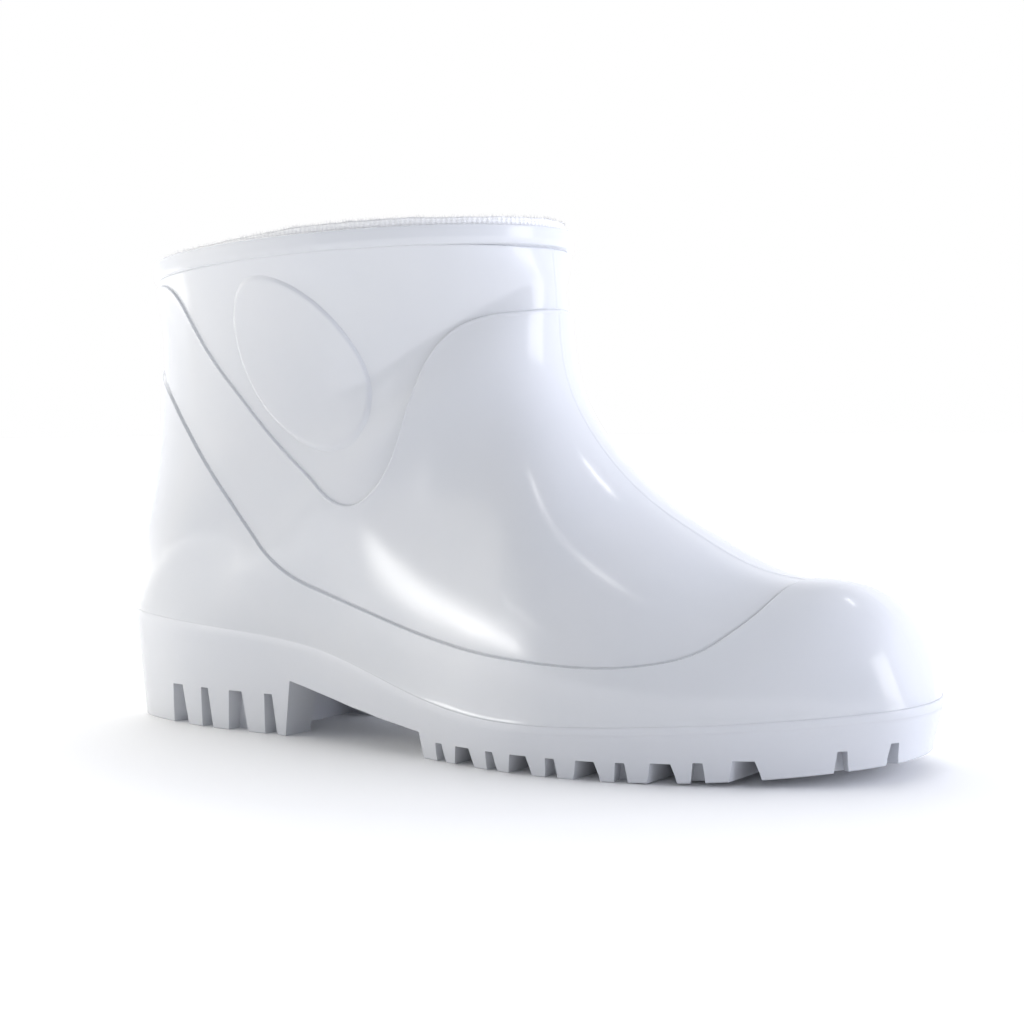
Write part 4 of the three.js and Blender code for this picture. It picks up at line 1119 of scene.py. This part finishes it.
def knit():
    material = bpy.data.materials.new("grey_knit")
    material.use_nodes = True
    tree = material.node_tree
    shader = tree.nodes["Principled BSDF"]
    laid = tree.nodes.new("ShaderNodeUVMap")
    laid.uv_map = "Cloth"
    split = tree.nodes.new("ShaderNodeSeparateXYZ")
    link(tree, laid.outputs["UV"], split.inputs[0])
    wale = maths(tree, "SINE", maths(tree, "MULTIPLY", split.outputs[0], 2 * math.pi / WALE), 0.0)
    slant = maths(tree, "MULTIPLY", maths(tree, "ABSOLUTE", wale, 0.0), 1.6)
    course = maths(tree, "MULTIPLY", split.outputs[1], 2 * math.pi / COURSE)
    course = maths(tree, "SINE", maths(tree, "ADD", course, slant), 0.0)
    loops = maths(tree, "ADD", maths(tree, "MULTIPLY", wale, 0.6), maths(tree, "MULTIPLY", course, 0.4))
    place = tree.nodes.new("ShaderNodeTexCoord").outputs["Object"]
    fluff = noise(tree, place, 1400.0, 3.0, 0.7)
    high = maths(tree, "ADD", loops, fluff)
    # The colour is darker where the knit's height is low: painted shade in the hollows between the
    # loops, with random tone from the fluff.
    loop_hollow_shade = tree.nodes.new("ShaderNodeMix")
    loop_hollow_shade.data_type = "RGBA"
    loop_hollow_shade.inputs[6].default_value = (0.83, 0.83, 0.84, 1)
    loop_hollow_shade.inputs[7].default_value = (0.90, 0.90, 0.90, 1)
    link(tree, remap(tree, high, -0.6, 1.4, 0.0, 1.0), loop_hollow_shade.inputs[0])
    link(tree, loop_hollow_shade.outputs[2], shader.inputs["Base Color"])
    shader.inputs["Roughness"].default_value = 0.92
    shader.inputs["Sheen Weight"].default_value = 0.3
    lift = tree.nodes.new("ShaderNodeBump")
    lift.inputs["Strength"].default_value = 0.4
    lift.inputs["Distance"].default_value = 0.0004
    link(tree, high, lift.inputs["Height"])
    link(tree, lift.outputs["Normal"], shader.inputs["Normal"])
    return material


def fibre_finish():
    material = bpy.data.materials.new("loose_fibre")
    material.use_nodes = True
    tree = material.node_tree
    shader = tree.nodes["Principled BSDF"]
    place = tree.nodes.new("ShaderNodeTexCoord").outputs["Object"]
    patchy = noise(tree, place, 300.0)
    mix = tree.nodes.new("ShaderNodeMix")
    mix.data_type = "RGBA"
    mix.inputs[6].default_value = (0.75, 0.75, 0.76, 1)
    mix.inputs[7].default_value = (0.90, 0.90, 0.90, 1)
    link(tree, patchy, mix.inputs[0])
    link(tree, mix.outputs[2], shader.inputs["Base Color"])
    shader.inputs["Roughness"].default_value = 0.9
    return material


grey_knit = knit()
for piece in (insole, lining):
    finish_with(piece, grey_knit)
finish_with(fuzz, fibre_finish())

# %% [markdown]
# ## Floor, light and camera
# The photograph is a high-key product shot: a white sweep, a large soft window to the left, a
# taller one off the toe, and thin tubes overhead that draw the fine arcs on the instep.

# %% Floor
FLOOR_SIZE = 30.0
SWEEP_START = 0.12
SWEEP_END = 0.9


def white_sweep():
    """A white floor that grows into the bright backdrop away from the boot."""
    material = bpy.data.materials.new("white_sweep")
    material.use_nodes = True
    tree = material.node_tree
    shader = tree.nodes["Principled BSDF"]
    away = tree.nodes.new("ShaderNodeVectorMath")
    away.operation = "LENGTH"
    link(tree, tree.nodes.new("ShaderNodeTexCoord").outputs["Object"], away.inputs[0])
    far = remap(tree, away.outputs["Value"], SWEEP_START, SWEEP_END, 0.0, 1.0)
    mix = tree.nodes.new("ShaderNodeMix")
    mix.data_type = "RGBA"
    mix.inputs[6].default_value = (0, 0, 0, 1)
    mix.inputs[7].default_value = (1, 1, 1, 1)
    link(tree, far, mix.inputs[0])
    link(tree, mix.outputs[2], shader.inputs["Emission Color"])
    shader.inputs["Emission Strength"].default_value = 0.8
    shader.inputs["Base Color"].default_value = (0.92, 0.92, 0.92, 1)
    shader.inputs["Roughness"].default_value = 0.6
    shader.inputs["Specular IOR Level"].default_value = 0.1
    return material


def floor():
    mesh = bmesh.new()
    bmesh.ops.create_grid(mesh, x_segments=1, y_segments=1, size=FLOOR_SIZE / 2)
    piece = to_object("floor", mesh)
    finish_with(piece, white_sweep())


floor()

# %% Light
LIT_POINT = Vector((0.17, -0.01, 0.08)) + Vector(ORIGIN)


def softbox(name, azimuth, elevation, distance, width, tall, glow, colour):
    """An area light around the boot. Azimuth 0 is off its outer side, and 90 off the toe."""
    a, e = math.radians(azimuth), math.radians(elevation)
    away = Vector((math.sin(a) * math.cos(e), -math.cos(a) * math.cos(e), math.sin(e)))
    data = bpy.data.lights.new(name, "AREA")
    data.shape = "RECTANGLE"
    data.size, data.size_y = width, tall
    data.energy = glow * math.pi * width * tall
    data.color = colour
    lamp = bpy.data.objects.new(name, data)
    lamp.location = LIT_POINT + away * distance
    lamp.rotation_euler = away.to_track_quat("Z", "Y").to_euler()
    lamp.visible_camera = False
    bpy.context.scene.collection.objects.link(lamp)
    return lamp


WARM, NEUTRAL, COOL = (1.0, 0.95, 0.80), (1.0, 0.99, 0.96), (0.79, 0.83, 1.0)
FILLS = [
    ("left_wall", -80, 14, 1.6, 1.6, 1.1, 2.6, WARM),
    ("front_left_wall", -46, 6, 1.5, 1.5, 0.8, 1.05, NEUTRAL),
    ("back_left_wall", -122, 36, 1.8, 1.8, 2.0, 0.6, NEUTRAL),
    ("right_wall", 112, 14, 1.5, 1.7, 1.0, 3.1, COOL),
    ("top_bank", 180, 80, 2.2, 2.6, 2.6, 0.9, NEUTRAL),
]
HIGHLIGHTS = [
    ("window_core", -46, 4, 1.3, 0.62, 0.10, 6.5, NEUTRAL),
    ("window_middle", -45, 6, 1.3, 0.78, 0.26, 2.0, NEUTRAL),
    ("window_halo", -43, 9, 1.3, 0.95, 0.50, 0.6, NEUTRAL),
    ("toe_window", 99, 12, 1.1, 0.50, 0.44, 3.2, NEUTRAL),
    ("back_left_window", -118, 44, 1.3, 0.80, 0.60, 2.2, NEUTRAL),
    ("overhead_spot", 10, 69, 1.1, 0.10, 0.07, 12.0, NEUTRAL),
    ("low_tube", -29, 16, 1.3, 0.50, 0.03, 3.0, NEUTRAL),
    ("far_tube", 157, 49, 1.2, 0.22, 0.04, 8.0, NEUTRAL),
]
for fill in FILLS:
    softbox(*fill).visible_glossy = False
for highlight in HIGHLIGHTS:
    softbox(*highlight).visible_diffuse = False


CARD_AZIMUTH = math.radians(-45)
CARDS = {
    "rear_card": ((0.036, -0.125, 0.130), 0.11, 0.14),
    "ankle_card": ((0.0744, -0.163, 0.158), 0.082, 0.16),
}


def shading_card(name, right_edge, width, high):
    """A pale card that keeps the window's reflection off part of the shaft."""
    mesh = bmesh.new()
    bmesh.ops.create_grid(mesh, x_segments=1, y_segments=1, size=0.5)
    along = Vector((math.cos(CARD_AZIMUTH), math.sin(CARD_AZIMUTH), 0))
    centre = Vector(right_edge) + Vector(ORIGIN) - along * width / 2
    for vert in mesh.verts:
        vert.co = centre + along * vert.co.x * width + Vector((0, 0, vert.co.y * high))
    piece = to_object(name, mesh)
    finish_with(piece, pale_card)
    piece.visible_camera = False
    piece.visible_diffuse = False


pale_card = bpy.data.materials.new("pale_card")
pale_card.use_nodes = True
card_shader = pale_card.node_tree.nodes["Principled BSDF"]
card_shader.inputs["Base Color"].default_value = (0, 0, 0, 1)
card_shader.inputs["Specular IOR Level"].default_value = 0
card_shader.inputs["Emission Color"].default_value = (1.0, 0.98, 0.97, 1)
card_shader.inputs["Emission Strength"].default_value = 1.1
for name, card in CARDS.items():
    shading_card(name, *card)

BACKDROP_AZIMUTH = math.radians(190)


def studio():
    """A bright backdrop low behind the boot, and a dim cool room on the camera's side."""
    world = bpy.data.worlds.new("pale_studio")
    bpy.context.scene.world = world
    world.use_nodes = True
    tree = world.node_tree
    looks = tree.nodes.new("ShaderNodeTexCoord").outputs["Generated"]
    facing = tree.nodes.new("ShaderNodeVectorMath")
    facing.operation = "DOT_PRODUCT"
    link(tree, looks, facing.inputs[0])
    facing.inputs[1].default_value = (math.sin(BACKDROP_AZIMUTH), -math.cos(BACKDROP_AZIMUTH), 0)
    back = remap(tree, facing.outputs["Value"], -1.0, 0.6, 0.0, 1.0)
    split = tree.nodes.new("ShaderNodeSeparateXYZ")
    link(tree, looks, split.inputs[0])
    low = remap(tree, split.outputs[2], 0.3, 0.85, 1.0, 0.12)
    for ramped in (back, low):
        ramped.node.interpolation_type = "SMOOTHSTEP"
    mix = tree.nodes.new("ShaderNodeMix")
    mix.data_type = "RGBA"
    mix.inputs[6].default_value = (0.36, 0.375, 0.41, 1)
    mix.inputs[7].default_value = (1.2, 1.22, 1.3, 1)
    link(tree, maths(tree, "MULTIPLY", back, low), mix.inputs[0])
    around = tree.nodes["Background"]
    link(tree, mix.outputs[2], around.inputs["Color"])
    white = tree.nodes.new("ShaderNodeBackground")
    white.inputs["Color"].default_value = (1.0, 1.0, 1.0, 1)
    seen = tree.nodes.new("ShaderNodeMixShader")
    link(tree, tree.nodes.new("ShaderNodeLightPath").outputs["Is Camera Ray"], seen.inputs[0])
    link(tree, around.outputs[0], seen.inputs[1])
    link(tree, white.outputs[0], seen.inputs[2])
    link(tree, seen.outputs[0], tree.nodes["World Output"].inputs["Surface"])


studio()
bpy.context.scene.view_settings.view_transform = "Standard"


# %% Camera
def camera():
    cos_pitch = math.cos(CAMERA_PITCH)
    forward = Vector((-math.sin(CAMERA_AZIMUTH) * cos_pitch,
                      math.cos(CAMERA_AZIMUTH) * cos_pitch, -math.sin(CAMERA_PITCH)))
    right = Vector((math.cos(CAMERA_AZIMUTH), math.sin(CAMERA_AZIMUTH), 0))
    above = right.cross(forward)
    turned_right = right * math.cos(CAMERA_ROLL) + above * math.sin(CAMERA_ROLL)
    turned_up = above * math.cos(CAMERA_ROLL) - right * math.sin(CAMERA_ROLL)
    axes = Matrix((turned_right, turned_up, -forward)).transposed()
    data = bpy.data.cameras.new("camera")
    data.sensor_width = SENSOR_WIDTH
    data.lens = FOCAL_PIXELS / IMAGE_PIXELS * SENSOR_WIDTH
    eye = bpy.data.objects.new("camera", data)
    eye.matrix_world = axes.to_4x4()
    eye.location = Vector(CAMERA_TARGET) + Vector(ORIGIN) - forward * CAMERA_DISTANCE
    bpy.context.scene.collection.objects.link(eye)
    bpy.context.scene.camera = eye
    print("lens", round(data.lens, 2), "mm")


camera()
